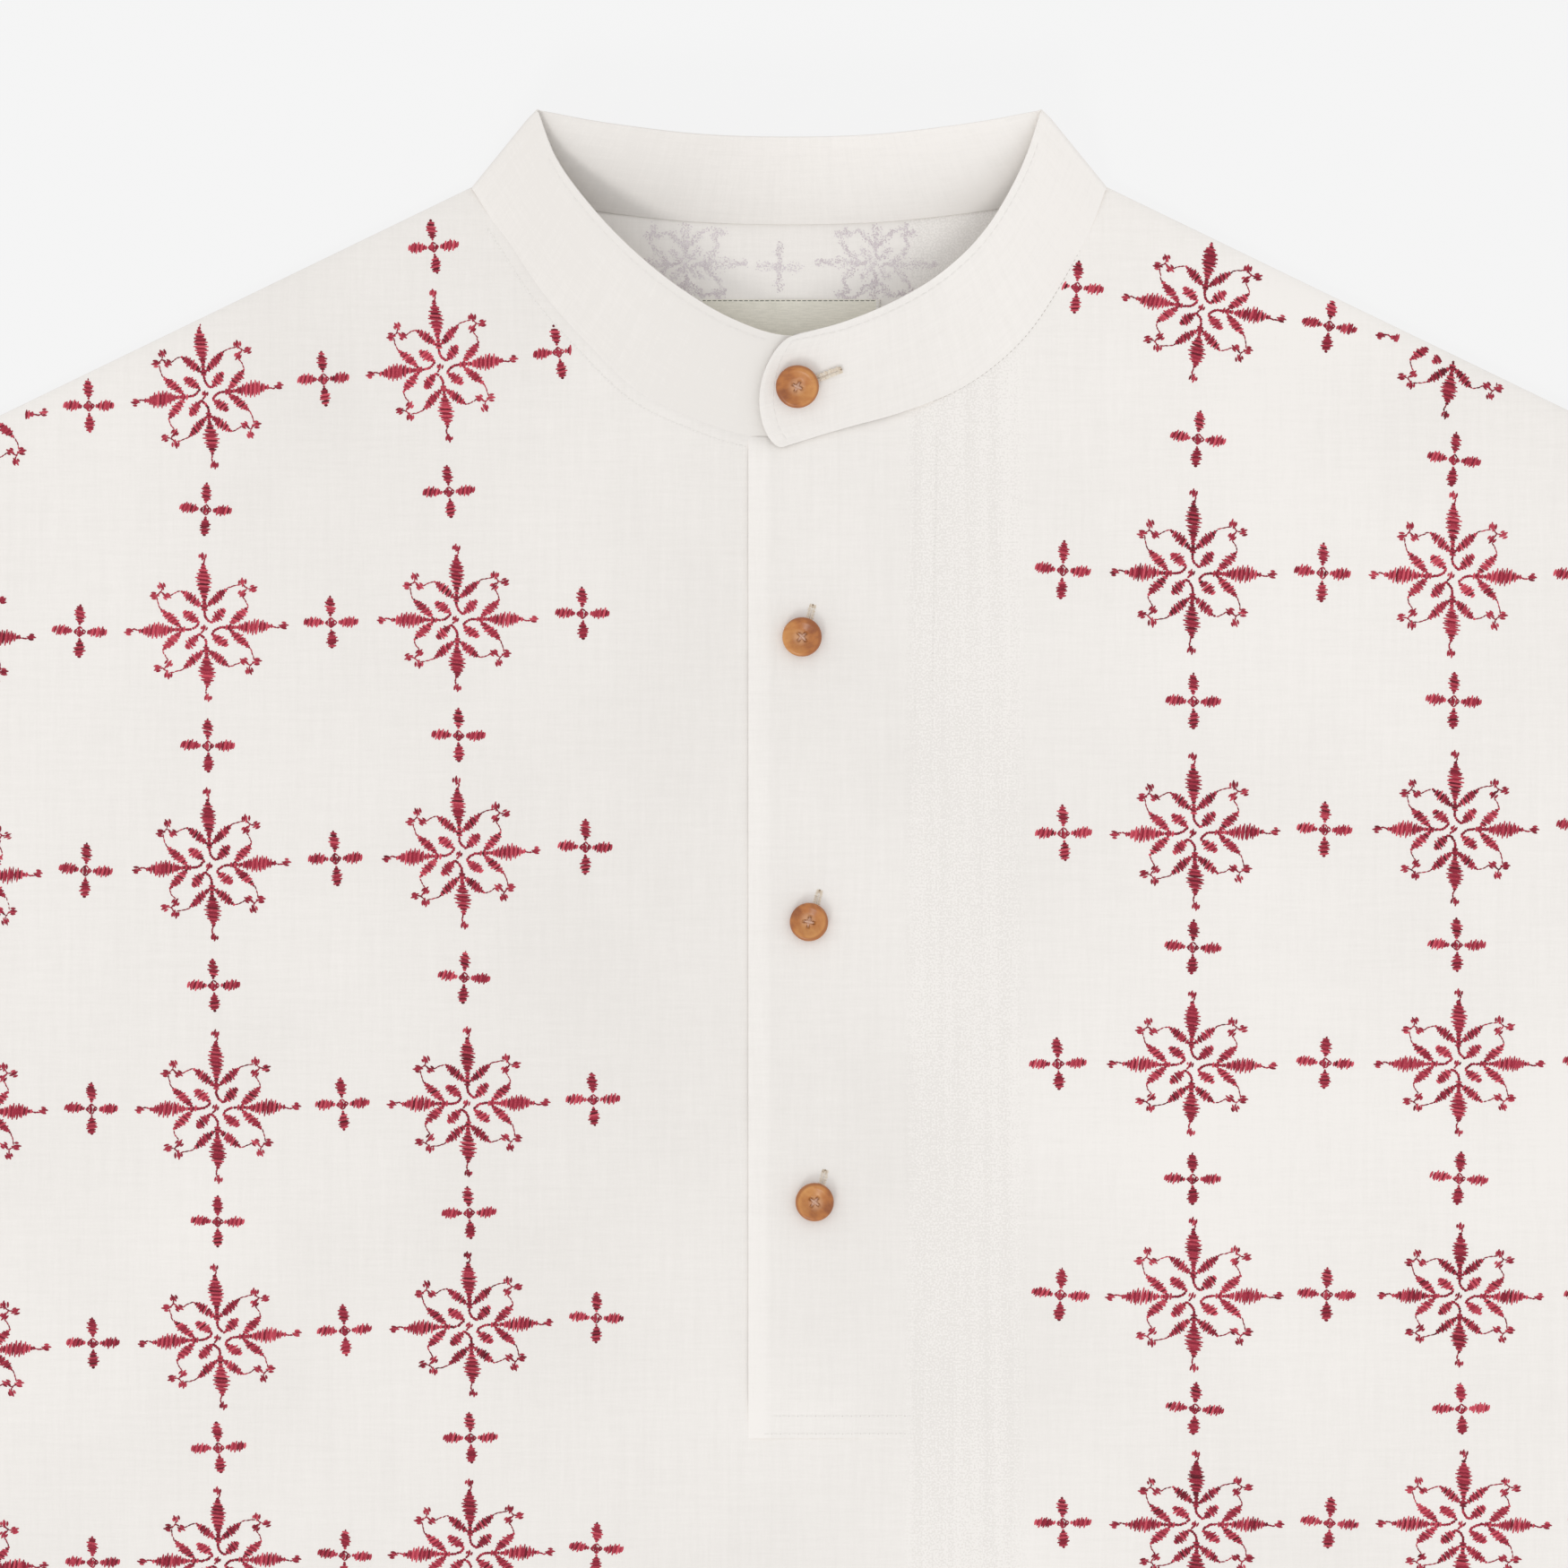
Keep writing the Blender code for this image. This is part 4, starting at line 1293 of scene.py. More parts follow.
@dataclass
class Wardrobe:
    """The finishes, made once and shared by every piece."""

    linen: bpy.types.Material = field(default_factory=lambda: Linen().material())
    crimson: bpy.types.Material = field(default_factory=CRIMSON.material)
    bobbin: bpy.types.Material = field(default_factory=BOBBIN.material)
    white: bpy.types.Material = field(default_factory=WHITE_THREAD.material)
    pink: bpy.types.Material = field(default_factory=PINK_THREAD.material)
    beige: bpy.types.Material = field(default_factory=HOLE_THREAD.material)
    grey: bpy.types.Material = field(default_factory=LABEL_THREAD.material)
    label: bpy.types.Material = field(default_factory=lambda: LabelWeave().material())
    horn: bpy.types.Material = field(default_factory=lambda: Horn().material())


def dress(
    piece: bpy.types.Object,
    material: bpy.types.Material,
    replaced: Sequence[str] = (),
) -> bpy.types.Object:
    """Gives a piece its finish and its body, and hides the solids that it stands for.

    Args:
        piece: The piece.
        material: Its finish.
        replaced: Names of the solids that it stands for.

    Returns:
        The piece.
    """
    piece.data.materials.clear()
    piece.data.materials.append(material)
    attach(piece, BODY)
    if replaced:
        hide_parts(*replaced)
    LOG.info("%s: %d faces", piece.name, len(piece.data.polygons))
    return piece


# The body


@dataclass
class BodyPanels:
    """The front and the back: fine cloth on the shapes of their solids."""

    cut: Cut
    wardrobe: Wardrobe
    cloth: float = 0.7 * MM
    column_step: float = 3.4 * MM
    row_step: float = 3.4 * MM
    low_row_step: float = 6.5 * MM

    def spread(self, start: float, end: float, step: float) -> Array:
        """Even values from start up to but not including end, about step apart."""
        count = max(int(round(abs(end - start) / step)), 1)
        return np.linspace(start, end, count, endpoint=False)

    def columns(self) -> Array:
        """Columns from side to side, with one on each edge of the slit and at each neck point."""
        cut = self.cut
        marks = (-cut.shoulder_half, -cut.neck_half, cut.slit_left, cut.slit_right, cut.neck_half)
        ends = (*marks[1:], cut.shoulder_half)
        pieces = [self.spread(a, b, self.column_step) for a, b in zip(marks, ends)]
        return np.concatenate([*pieces, [cut.shoulder_half]])

    def rows(self, coarse: float = 1.0) -> Array:
        """Rows as shares: 0 to 1 from the hem to the slit's foot, 1 to 2 from there to the top edge."""
        cut = self.cut
        low = cut.slit_y - cut.hem_y
        hem = np.array([0.0, 3.0, 9.0, 15.0, 19.5, 21.0, 22.5]) * MM
        rest = self.spread(27 * MM, low, self.low_row_step * coarse)
        high = self.spread(0.0, -cut.slit_y, self.row_step * coarse)
        return np.concatenate([hem / low, rest / low, 1 + high / -cut.slit_y, [2.0]])

    def plan(self, rows: Array, neck: Callable[[Array], Array], columns: Array) -> tuple[Array, Array]:
        """Plan of a panel: each row evenly between the hem and the slit's foot, or from there to the top edge.

        Args:
            rows: The rows' shares.
            neck: Top edge at each column.
            columns: The columns.

        Returns:
            x and y, rows by columns.
        """
        cut = self.cut
        row = rows[:, None]
        low = cut.hem_y + (cut.slit_y - cut.hem_y) * row
        high = cut.slit_y + (neck(columns)[None, :] - cut.slit_y) * (row - 1)
        y = np.where(row <= 1, low, high)
        return cut.body_x(columns[None, :], y), y

    def build_back(self) -> bpy.types.Object:
        """The back: its underside is flat where it rests, and its inside face has a few creases."""
        cut = self.cut
        x, y = self.plan(self.rows(2.0), cut.back_neck, self.columns()[::2])
        outer = cut.place(x, y, cut.back_top(x, y))
        inner = cut.place(x, y, 0.0)
        piece = shell("back_cloth", outer, inner, np.stack([x, y], axis=-1), rim=0.3 * MM)
        dress(piece, self.wardrobe.linen, ["back"])
        return piece

    def build_front(self) -> bpy.types.Object:
        """The front, with the slit of the placket cut out of it."""
        cut = self.cut
        columns = self.columns()
        rows = self.rows()
        x, y = self.plan(rows, cut.front_neck, columns)
        top = cut.front_top(x, y)
        outer = cut.place(x, y, top)
        inner = cut.place(x, y, top - self.cloth)
        middle_x = (columns[:-1] + columns[1:]) / 2
        middle_row = (rows[:-1] + rows[1:]) / 2
        slit = (middle_x > cut.slit_left) & (middle_x < cut.slit_right)
        keep = ~(slit[None, :] & (middle_row[:, None] > 1))
        piece = shell("front_cloth", outer, inner, np.stack([x, y], axis=-1), keep)
        dress(piece, self.wardrobe.linen, ["front"])
        return piece


@dataclass
class Placket:
    """The two strips of the front opening: the one under the lap and the wide one on top."""

    cut: Cut
    wardrobe: Wardrobe
    left: float = -12.4 * MM
    right: float = 43 * MM
    foot_y: float = -377.5 * MM
    corner_y: float = -76.6 * MM
    lift: float = 1.3 * MM
    flush: float = -0.08 * MM
    ramp_from: float = 8 * MM
    foot_fade: float = 14 * MM
    head_fade: float = 5 * MM
    roll: float = 4.5 * MM
    fold: float = 0.28 * MM
    fall: float = 0.55 * MM
    ripple: float = 0.10 * MM
    cloth: float = 0.7 * MM

    def height(self, x: Array, y: Array) -> Array:
        """The over strip's face: full height at the left, down to the front at the right and at the foot.

        Its left edge is a rolled fold, a quarter round whose top lies one roll in from the edge.
        """
        full = smooth_step((x - self.ramp_from) / (self.right - self.ramp_from))
        full = (self.lift - self.flush) * (1 - full)
        foot = smooth_step((y - self.foot_y) / self.foot_fade)
        past_lap = smooth_step((x + 4 * MM) / self.head_fade)
        head = np.maximum(smooth_step((self.corner_y + 1 * MM - y) / self.head_fade), past_lap)
        full = self.flush + full * (0.35 + 0.65 * foot) * (0.1 + 0.9 * head)
        inside = (x - self.left) / self.roll
        fold = self.fold * np.exp(-((inside - 0.75) ** 2))
        quarter = np.sqrt(np.clip(1 - (1 - np.clip(inside, 0.0, 1.0)) ** 2, 0.0, 1.0))
        ripple = np.sin(y / (9 * MM)) * np.sin(y / (23 * MM) + 1.0) * np.exp(-(((x - self.left) / (9 * MM)) ** 2))
        return self.cut.front_top(x, y) + full + fold - self.fall * (1 - quarter) + self.ripple * ripple

    def top_edge(self, x: Array) -> Array:
        """The over strip's top edge: along the over end's seam, then level to the lap's edge."""
        seam = np.minimum(self.cut.seam_y(x, OVER_FRONT), self.corner_y + 20 * MM)
        return np.where(x < OVER_FRONT[-1].seam_x * MM, self.corner_y + 0.8 * MM, seam)

    def build_over(self) -> bpy.types.Object:
        """The wide strip, laid over the front and the lap."""
        cut = self.cut
        left = self.left + self.roll * (1 - np.cos(np.linspace(0, math.pi / 2, 8)))
        columns = np.concatenate([left[:-1], np.linspace(self.left + self.roll, self.right, 22)])
        share = np.concatenate([np.linspace(0, 0.05, 8, endpoint=False), np.linspace(0.05, 1, 110)])[:, None]
        x = np.broadcast_to(columns, (len(share), len(columns)))
        y = self.foot_y + (self.top_edge(columns) - self.foot_y) * share
        top = self.height(x, y)
        under = np.maximum(cut.front_top(x, y) + 2 * THREAD_GAP, top - self.cloth)
        under = cut.place(x, y, np.minimum(under, top - 0.3 * MM))
        uv = np.stack([x, y - 1.0], axis=-1)
        piece = shell("placket_over_cloth", cut.place(x, y, top), under, uv, rim=0.15 * MM)
        dress(piece, self.wardrobe.linen, ["placket_over"])
        return piece

    def build_under(self) -> bpy.types.Object:
        """The strip that fills the slit, under the lap."""
        cut = self.cut
        columns = np.linspace(cut.slit_left + cut.seam_gap, cut.slit_right - cut.seam_gap, 8)
        share = np.linspace(0, 1, 50)[:, None]
        foot = cut.slit_y + cut.seam_gap
        x = np.broadcast_to(columns, (len(share), len(columns)))
        y = foot + (cut.seam_y(columns, UNDER_FRONT) - foot) * share
        top = cut.front_lift(x, y) + cut.wall
        uv = np.stack([x, y], axis=-1)
        piece = shell("placket_under_cloth", cut.place(x, y, top), cut.place(x, y, top - self.cloth), uv)
        dress(piece, self.wardrobe.linen, ["placket_under"])
        return piece


@dataclass
class Collar:
    """The band collar: columns from the hidden under end round the back to the over end."""

    cut: Cut
    wardrobe: Wardrobe
    thinning: float = 0.6
    thin_from: float = 0.86
    fold_lap: float = 0.8 * MM
    under_lap: float = 1.0 * MM
    over_lap: float = 0.25 * MM
    over_raise: float = 0.15 * MM
    back_seam_z: float = 1.95 * MM
    fold_radius: float = 0.85 * MM
    fold_seam_z: float = 2.65 * MM
    fold_reach: float = 13 * MM
    over_lift: float = 2.7 * MM
    over_lift_from: float = 54 * MM
    over_lift_to: float = 20 * MM
    corner_bulge: float = 8.9 * MM
    corner_reach: float = 20 * MM
    over_columns: int = 70
    under_columns: int = 60
    back_columns: int = 91
    fold_columns: int = 9
    rows: int = 21
    band: float = 33 * MM

    def lapped(self, x: Array) -> Array:
        """How far the over end is raised clear of what lies under it, by its seam's x."""
        return self.over_lift * smooth_step((self.over_lift_from - x) / (self.over_lift_from - self.over_lift_to))

    def stretch(
        self, table: Sequence[Section], count: int, fold_at_start: bool, lap: float, seam_height: Surface
    ) -> tuple[Array, Array, Array]:
        """Columns of one stretch: its seam and top edge, and how near each is to the folded side.

        Args:
            table: The stretch's sections.
            count: Number of columns.
            fold_at_start: Whether the folded side is the stretch's first column or its last.
            lap: How far its foot runs on past the seam, away from the fold.
            seam_height: Height of the seam from its x and y.

        Returns:
            Seam points, top points and nearness, a bell of the distance from the fold.
        """
        rows = smooth_rows(table, count)
        fold = rows[0] if fold_at_start else rows[-1]
        near = np.exp(-((np.linalg.norm(rows[:, :2] - fold[:2], axis=1) / self.fold_reach) ** 2))
        base = seam_height(rows[:, 0], rows[:, 1])
        z = base + (self.fold_seam_z - base) * near
        seam = np.stack([rows[:, 0], rows[:, 1], z], axis=1)
        top = np.stack([rows[:, 2], rows[:, 3], z + rows[:, 4]], axis=1)
        past = (lap + (self.fold_lap - lap) * near)[:, None]
        return seam - unit(top - seam) * past, top, near[:, None]

    def fold_frame(self, front: tuple[Array, Array], back: tuple[Array, Array]) -> tuple[Array, Array]:
        """Mean normal and outward direction at a folded side.

        Args:
            front: Seam and top edge of the front layer, from the fold on.
            back: The same for the back layer.

        Returns:
            The two directions.
        """
        rise = front[1][0] - front[0][0]
        over = np.cross(front[0][1] - front[0][0], rise)
        under = np.cross(back[0][1] - back[0][0], rise)
        over = unit(over * np.sign(over[2]))
        under = unit(under * np.sign(under[2]))
        normal = unit(over + under)
        outward = np.cross(rise, normal)
        return normal, unit(outward * np.sign(outward[0] * front[0][0][0]))

    def arc(self, seam: Array, top: Array, normal: Array, outward: Array) -> tuple[Array, Array]:
        """The half turn round a folded side, from its upper layer to its lower one."""
        turn = np.linspace(0, math.pi, self.fold_columns + 2)[1:-1, None]
        offset = self.fold_radius * (np.cos(turn) * normal + np.sin(turn) * outward)
        return seam + offset, top + offset

    def stations(self) -> tuple[Array, Array]:
        """Seam and top edge of every column, from the hidden under end to the over end."""

        def on_front(x: Array, y: Array) -> Array:
            """Height of the band's middle where its seam lies on the front."""
            return self.cut.front_lift(x, y) + self.cut.wall / 2

        def on_lap(x: Array, y: Array) -> Array:
            """The same for the over end, which is raised over the under end."""
            return on_front(x, y) + self.over_raise + self.lapped(x)

        def on_back(x: Array, y: Array) -> Array:
            """Height of the band's middle where its seam lies on the back."""
            return self.back_seam_z

        under = self.stretch(UNDER_FRONT, self.under_columns, False, self.under_lap, on_front)
        left = self.stretch(BACK_NECK, self.back_columns, True, self.fold_lap, on_back)
        right = self.stretch(BACK_NECK, self.back_columns, False, self.fold_lap, on_back)
        over = self.stretch(OVER_FRONT, self.over_columns, True, self.over_lap, on_lap)
        left_normal, left_out = self.fold_frame((under[0][::-1], under[1][::-1]), left[:2])
        right_normal, right_out = self.fold_frame(over[:2], (right[0][::-1], right[1][::-1]))
        middle = self.back_columns // 2
        step = self.fold_radius
        left_arc = self.arc(under[0][-1], under[1][-1], left_normal, left_out)
        right_arc = self.arc(over[0][0], over[1][0], right_normal, right_out)
        parts = [
            [
                under[edge] + step * under[2] * left_normal,
                left_arc[edge],
                left[edge][:middle] - step * left[2][:middle] * left_normal,
                right[edge][middle:] - step * right[2][middle:] * right_normal,
                right_arc[edge][::-1],
                over[edge] + step * over[2] * right_normal,
            ]
            for edge in (0, 1)
        ]
        return np.concatenate(parts[0]), np.concatenate(parts[1])

    def bulge(self, seam_x: Array, share: Array) -> Array:
        """How far the over end's rounded edge stands out: the root of a sine up it, less with distance."""
        near = smooth_step(1 - (seam_x - OVER_FRONT[-1].seam_x * MM) / self.corner_reach)
        return self.corner_bulge * np.sqrt(np.sin(math.pi * share**1.05)) * near

    def middle(self, shares: Array) -> Array:
        """The middle of the cloth: each column straight from seam to top edge, rows by columns of points."""
        seam, top = self.stations()
        share = shares[:, None, None]
        points = seam + (top - seam) * share
        over = np.arange(len(seam)) >= len(seam) - self.over_columns
        points[..., 0] -= np.where(over, self.bulge(seam[:, 0], np.clip(share[..., 0], 0, 0.999)), 0.0)
        return points

    def half_wall(self, share: Array) -> Array:
        """Half the band's thickness at a share of its height, thinner where the cloth folds over its top edge."""
        return self.cut.wall / 2 * (1 - self.thinning * smooth_step((share - self.thin_from) / (1 - self.thin_from)))

    def build(self) -> bpy.types.Object:
        """The band, with its wall set off to either side of its middle."""
        shares = (1 - np.cos(np.linspace(0, math.pi, self.rows))) / 2
        middle = self.middle(shares)
        normals = surface_normals(middle)
        half = self.half_wall(shares)[:, None, None]
        faces = [self.cut.moved(middle + side * normals * half) for side in (1, -1)]
        length = run_length(middle[self.rows // 2])
        uv = np.stack(np.broadcast_arrays(length[None, :] + Linen.collar_u, shares[:, None] * self.band), axis=-1)
        piece = shell("collar_cloth", *faces, uv, rim=0.20 * MM)
        dress(piece, self.wardrobe.linen, ["collar"])
        return piece


@dataclass
class Sleeve:
    """A short sleeve: a flattened tube from the armhole to a turned hem."""

    cut: Cut
    wardrobe: Wardrobe
    node: str
    hand: float
    length: float = 235 * MM
    angle: float = math.radians(36)
    hem: float = 190 * MM
    hem_turn: float = math.radians(38)
    puff: float = 1.4 * MM
    bow: float = 5 * MM
    set_off: float = 0.2 * MM
    cloth: float = 0.7 * MM
    across: int = 56
    turn_points: int = 5
    along: int = 54
    hem_rows: tuple[float, ...] = (0.9, 0.915, 0.93, 0.945, 0.965, 0.985, 1.0)
    map_u: float = -2.0

    @property
    def edge_height(self) -> float:
        """Height of the folded tube at its edges."""
        return 2 * self.cut.wall + self.cut.seam_gap

    def plan(self, share: Array, along: Array) -> Array:
        """The sleeve in plan: the armhole's curve run straight out to the hem, its upper edge bowed.

        Args:
            share: 0 at the shoulder's edge and 1 at the underarm's.
            along: 0 at the armhole and 1 at the hem.

        Returns:
            Points with x and y last, for a sleeve on the right.
        """
        cut = self.cut
        share, along = np.broadcast_arrays(share, along)
        y = -cut.shoulder_drop + (cut.underarm_y + cut.shoulder_drop) * share
        armhole = np.stack([cut.half_width(y) + self.set_off, y], axis=-1)
        upper = np.array([cut.shoulder_half, -cut.shoulder_drop])
        upper = upper + self.length * np.array([math.cos(self.angle), -math.sin(self.angle)])
        down = np.array([-math.sin(self.hem_turn), -math.cos(self.hem_turn)])
        edge = upper + down * self.hem * share[..., None]
        point = armhole * (1 - along[..., None]) + edge * along[..., None]
        bow = self.bow * np.sin(math.pi * along) * (1 - share) ** 2
        return point + bow[..., None] * np.array([math.sin(self.angle), math.cos(self.angle)])

    def creases(self, share: Array, along: Array) -> Array:
        """Three slack folds that run out from the underarm and fade before the hem."""
        total = 0.0
        fade = np.sin(math.pi * np.clip(along * 1.15, 0, 1)) ** 2
        for start, lean, height in SLEEVE_FOLDS:
            total = total + height * MM * np.exp(-(((share - start + lean * along) / 0.07) ** 2)) * fade
        return total

    def top_height(self, share: Array, along: Array) -> Array:
        """The upper layer's height: the edge's, lofted by a sine across, with creases and a thicker hem."""
        puff = (self.puff + self.creases(share, along)) * np.sin(math.pi * share) * smooth_step(along / 0.3)
        hem = self.cut.hem_step * smooth_step((along - 1 + self.cut.hem_depth / self.length) / 0.012)
        return self.edge_height + puff + hem

    def build(self) -> bpy.types.Object:
        """The tube: an upper layer, a half round at each side, and a flat lower layer on the surface."""
        share = np.linspace(0, 1, self.across)
        flat = np.zeros(self.across)
        turn = np.linspace(0, math.pi, self.turn_points + 2)[1:-1]
        ones = np.ones(self.turn_points)
        shares = np.concatenate([share, ones, share[::-1], 0 * ones])[None, :]
        level = np.concatenate([flat + 1, (1 + np.cos(turn)) / 2, flat, (1 - np.cos(turn)) / 2])
        out = np.concatenate([flat, np.sin(turn), flat, -np.sin(turn)])[None, :, None]
        along = np.concatenate([np.linspace(0, self.hem_rows[0], self.along), self.hem_rows[1:]])[:, None]
        plan = self.plan(shares, along)
        ahead = self.plan(np.minimum(shares + 0.01, 1), along) - self.plan(np.maximum(shares - 0.01, 0), along)
        ahead = unit(ahead)
        top = self.top_height(shares, along)
        layers = []
        for depth in (0.0, self.cloth):
            point = plan + out * (self.edge_height / 2 - depth) * ahead
            z = depth + (top - 2 * depth) * level
            layers.append(self.cut.place(self.hand * point[..., 0], point[..., 1], z))
        ring = np.concatenate([plan[0], plan[0][:1]])
        around = np.array([0.0, *np.cumsum(np.linalg.norm(np.diff(ring, axis=0), axis=1) + 1e-5)])
        uv = np.stack(np.broadcast_arrays(around[None, :] + self.map_u, along * self.length), axis=-1)
        if self.hand > 0:
            layers = [layer[:, ::-1] for layer in layers]
            uv = uv[:, ::-1]
        piece = shell(self.node + "_cloth", layers[0], layers[1], uv, wrap=True, rim=0.2 * MM)
        dress(piece, self.wardrobe.linen, [self.node])
        return piece


@dataclass
class NeckLabel:
    """The bare label inside the back neck, stitched along its top."""

    cut: Cut
    wardrobe: Wardrobe
    half: float = 27.3 * MM
    top_y: float = -34.2 * MM
    height: float = 22 * MM
    cloth: float = 0.45 * MM

    def lift(self, x: Array, y: Array) -> Array:
        """How far the lower edge stands off, in two soft waves across."""
        return 0.35 * MM * np.sin(x / (17 * MM)) ** 2 * smooth_step((self.top_y - y) / self.height)

    def build(self) -> bpy.types.Object:
        """A thin flat cloth a seam's gap above the back, its lower edge lifting a little."""
        cut = self.cut
        x, y = np.meshgrid(
            np.linspace(-self.half, self.half, 40), np.linspace(self.top_y - self.height, self.top_y, 18)
        )
        base = cut.panel_step + self.lift(x, y) + 0.1 * MM
        uv = np.stack([x, y], axis=-1)
        piece = shell("label_cloth", cut.place(x, y, base + self.cloth), cut.place(x, y, base), uv, rim=0.12 * MM)
        dress(piece, self.wardrobe.label, ["label"])
        return piece


# Buttons


@dataclass
class Button:
    """A turned button: a dished middle with four holes, a round rim, and thread through the holes."""

    cut: Cut
    wardrobe: Wardrobe
    place: ButtonPlace
    thickness: float = 2.8 * MM
    hole_radius: float = 0.62 * MM
    hole_spread: float = 1.45 * MM
    well: float = 0.45 * MM
    shade_shift: float = 0.6
    columns: int = 96
    rows: int = 44
    strand: float = 0.20 * MM
    strand_spread: float = 0.26 * MM
    strand_wander: float = 0.06 * MM
    strand_drop: float = 0.75 * MM
    strand_rows: int = 15
    strand_sides: int = 6

    @property
    def radius(self) -> float:
        """Half the disc's diameter."""
        return self.place.diameter / 2 * MM

    def pose(self) -> tuple[Array, Array]:
        """Where the button lies, taken from its solid: its lowest middle point and its three axes.

        Returns:
            The origin, and a matrix whose rows are the disc's x, y and z axes.
        """
        points = np.array([v.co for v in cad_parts[self.place.name].data.vertices], float)
        centre = points.mean(axis=0)
        _, _, axes = np.linalg.svd(points - centre, full_matrices=False)
        up = axes[2] * np.sign(axes[2][2])
        side = unit(np.cross((0.0, 1.0, 0.0), up))
        axes = np.stack([side, np.cross(up, side), up])
        local = (points - centre) @ axes.T
        middle = (local.min(axis=0) + local.max(axis=0)) / 2
        middle[2] = local[:, 2].min()
        return centre + middle @ axes, axes

    def profile(self) -> Array:
        """Half outline from the top centre out and round to the bottom centre, smoothed between its knots."""
        return smooth_rows(np.array(BUTTON_PROFILE) * (self.radius, self.thickness), self.rows, scale=1.0)

    def build(self) -> bpy.types.Object:
        """The disc: its profile turned, with four soft-edged wells sunk in it for the holes."""
        profile = self.profile()
        origin, axes = self.pose()
        turn = np.linspace(0, 2 * math.pi, self.columns, endpoint=False)
        radius = np.maximum(profile[:, :1], 0.01 * MM)
        x, y = radius * np.cos(turn), radius * np.sin(turn)
        z = np.broadcast_to(profile[:, 1:2], x.shape).copy()
        upper = np.arange(self.rows)[:, None] < self.rows * 0.55
        for hole_x, hole_y in self.holes():
            away = np.hypot(x - hole_x, y - hole_y) / self.hole_radius
            z -= np.where(upper, self.well * (1 - smooth_step((away - 0.72) / 0.4)), 0.0)
        points = (origin + np.stack([x, y, z], axis=-1) @ axes).reshape(-1, 3)
        quads = grid_quads(self.rows, self.columns, wrap=True).reshape(-1, 4)[:, ::-1]
        centres = origin + np.array([[0, 0, profile[0, 1]], [0, 0, profile[-1, 1]]]) @ axes
        first = np.arange(self.columns)
        second = (first + 1) % self.columns
        last = (self.rows - 1) * self.columns
        centre = np.full(self.columns, len(points))
        top = np.stack([centre, first, second, second], axis=-1)
        foot = np.stack([centre + 1, last + second, last + first, last + first], axis=-1)
        light = math.radians(self.place.light_turn)
        scale = 1 / self.radius
        disc_u = (x * math.cos(light) + y * math.sin(light)) * scale + (self.place.depth - 0.5) * self.shade_shift
        disc_v = (y * math.cos(light) - x * math.sin(light)) * scale
        flat = np.concatenate([np.stack([disc_u, disc_v], -1).reshape(-1, 2), np.zeros((2, 2))])
        piece = self.disc_mesh(np.concatenate([points, centres]), np.concatenate([quads, top, foot]), flat)
        return dress(piece, self.wardrobe.horn, [self.place.name])

    def disc_mesh(self, points: Array, faces: Array, flat: Array) -> bpy.types.Object:
        """Quads and the two fans as one mesh, each fan's quads with a doubled corner made triangles."""
        name = self.place.name + "_horn"
        mesh = bpy.data.meshes.new(name)
        rings = [tuple(face) if face[2] != face[3] else tuple(face[:3]) for face in faces.tolist()]
        mesh.from_pydata(points.tolist(), [], rings)
        mesh.shade_smooth()
        corners = np.zeros(len(mesh.loops), np.int32)
        mesh.loops.foreach_get("vertex_index", corners)
        layer = mesh.uv_layers.new(name=CLOTH_UV)
        layer.data.foreach_set("uv", flat[corners].astype(np.float32).ravel())
        mesh.validate()
        made = bpy.data.objects.new(name, mesh)
        bpy.context.scene.collection.objects.link(made)
        return made

    def holes(self) -> list[tuple[float, float]]:
        """Centres of the four holes on the disc."""
        turns = [math.radians(45 + self.place.thread_turn + 90 * i) for i in range(4)]
        return [(self.hole_spread * math.cos(t), self.hole_spread * math.sin(t)) for t in turns]

    def build_thread(self) -> bpy.types.Object:
        """Thread through the holes: strands between opposite holes, each an arch, swept as a thin tube."""
        origin, axes = self.pose()
        holes = self.holes()
        rng = np.random.default_rng(SEWING_SEED)
        share = np.linspace(0, 1, self.strand_rows)[:, None]
        ring = np.linspace(0, 2 * math.pi, self.strand_sides, endpoint=False)[:, None]
        tubes = []
        for layer, pair in enumerate(((0, 2), (1, 3))):
            height = self.thickness * 0.60 + (0.24 + 0.16 * layer) * MM
            for strand in (-1, 0, 1):
                start, end = (np.array(holes[hole]) + rng.normal(0, self.strand_wander, 2) for hole in pair)
                aside = left_of(unit(end - start))
                bow = aside * strand * self.strand_spread * np.sin(math.pi * share)
                arch = height - self.strand_drop * np.abs(2 * share - 1) ** 3
                middle = np.concatenate([start + (end - start) * share + bow, arch], axis=1)
                circle = np.cos(ring) * (*aside, 0.0) + np.sin(ring) * (0.0, 0.0, 1.0)
                tubes.append(origin + (middle[:, None, :] + self.strand * circle) @ axes)
        points = np.stack(tubes)
        per = self.strand_rows * self.strand_sides
        quads = repeated_quads(grid_quads(self.strand_rows, self.strand_sides, wrap=True), len(tubes), per)
        tone = np.repeat(rng.uniform(0.3, 0.65, len(tubes)), per)
        piece = put_mesh(self.place.name + "_thread", points.reshape(-1, 3), quads, tone=tone)
        return dress(piece, self.wardrobe.pink)


# Embroidery


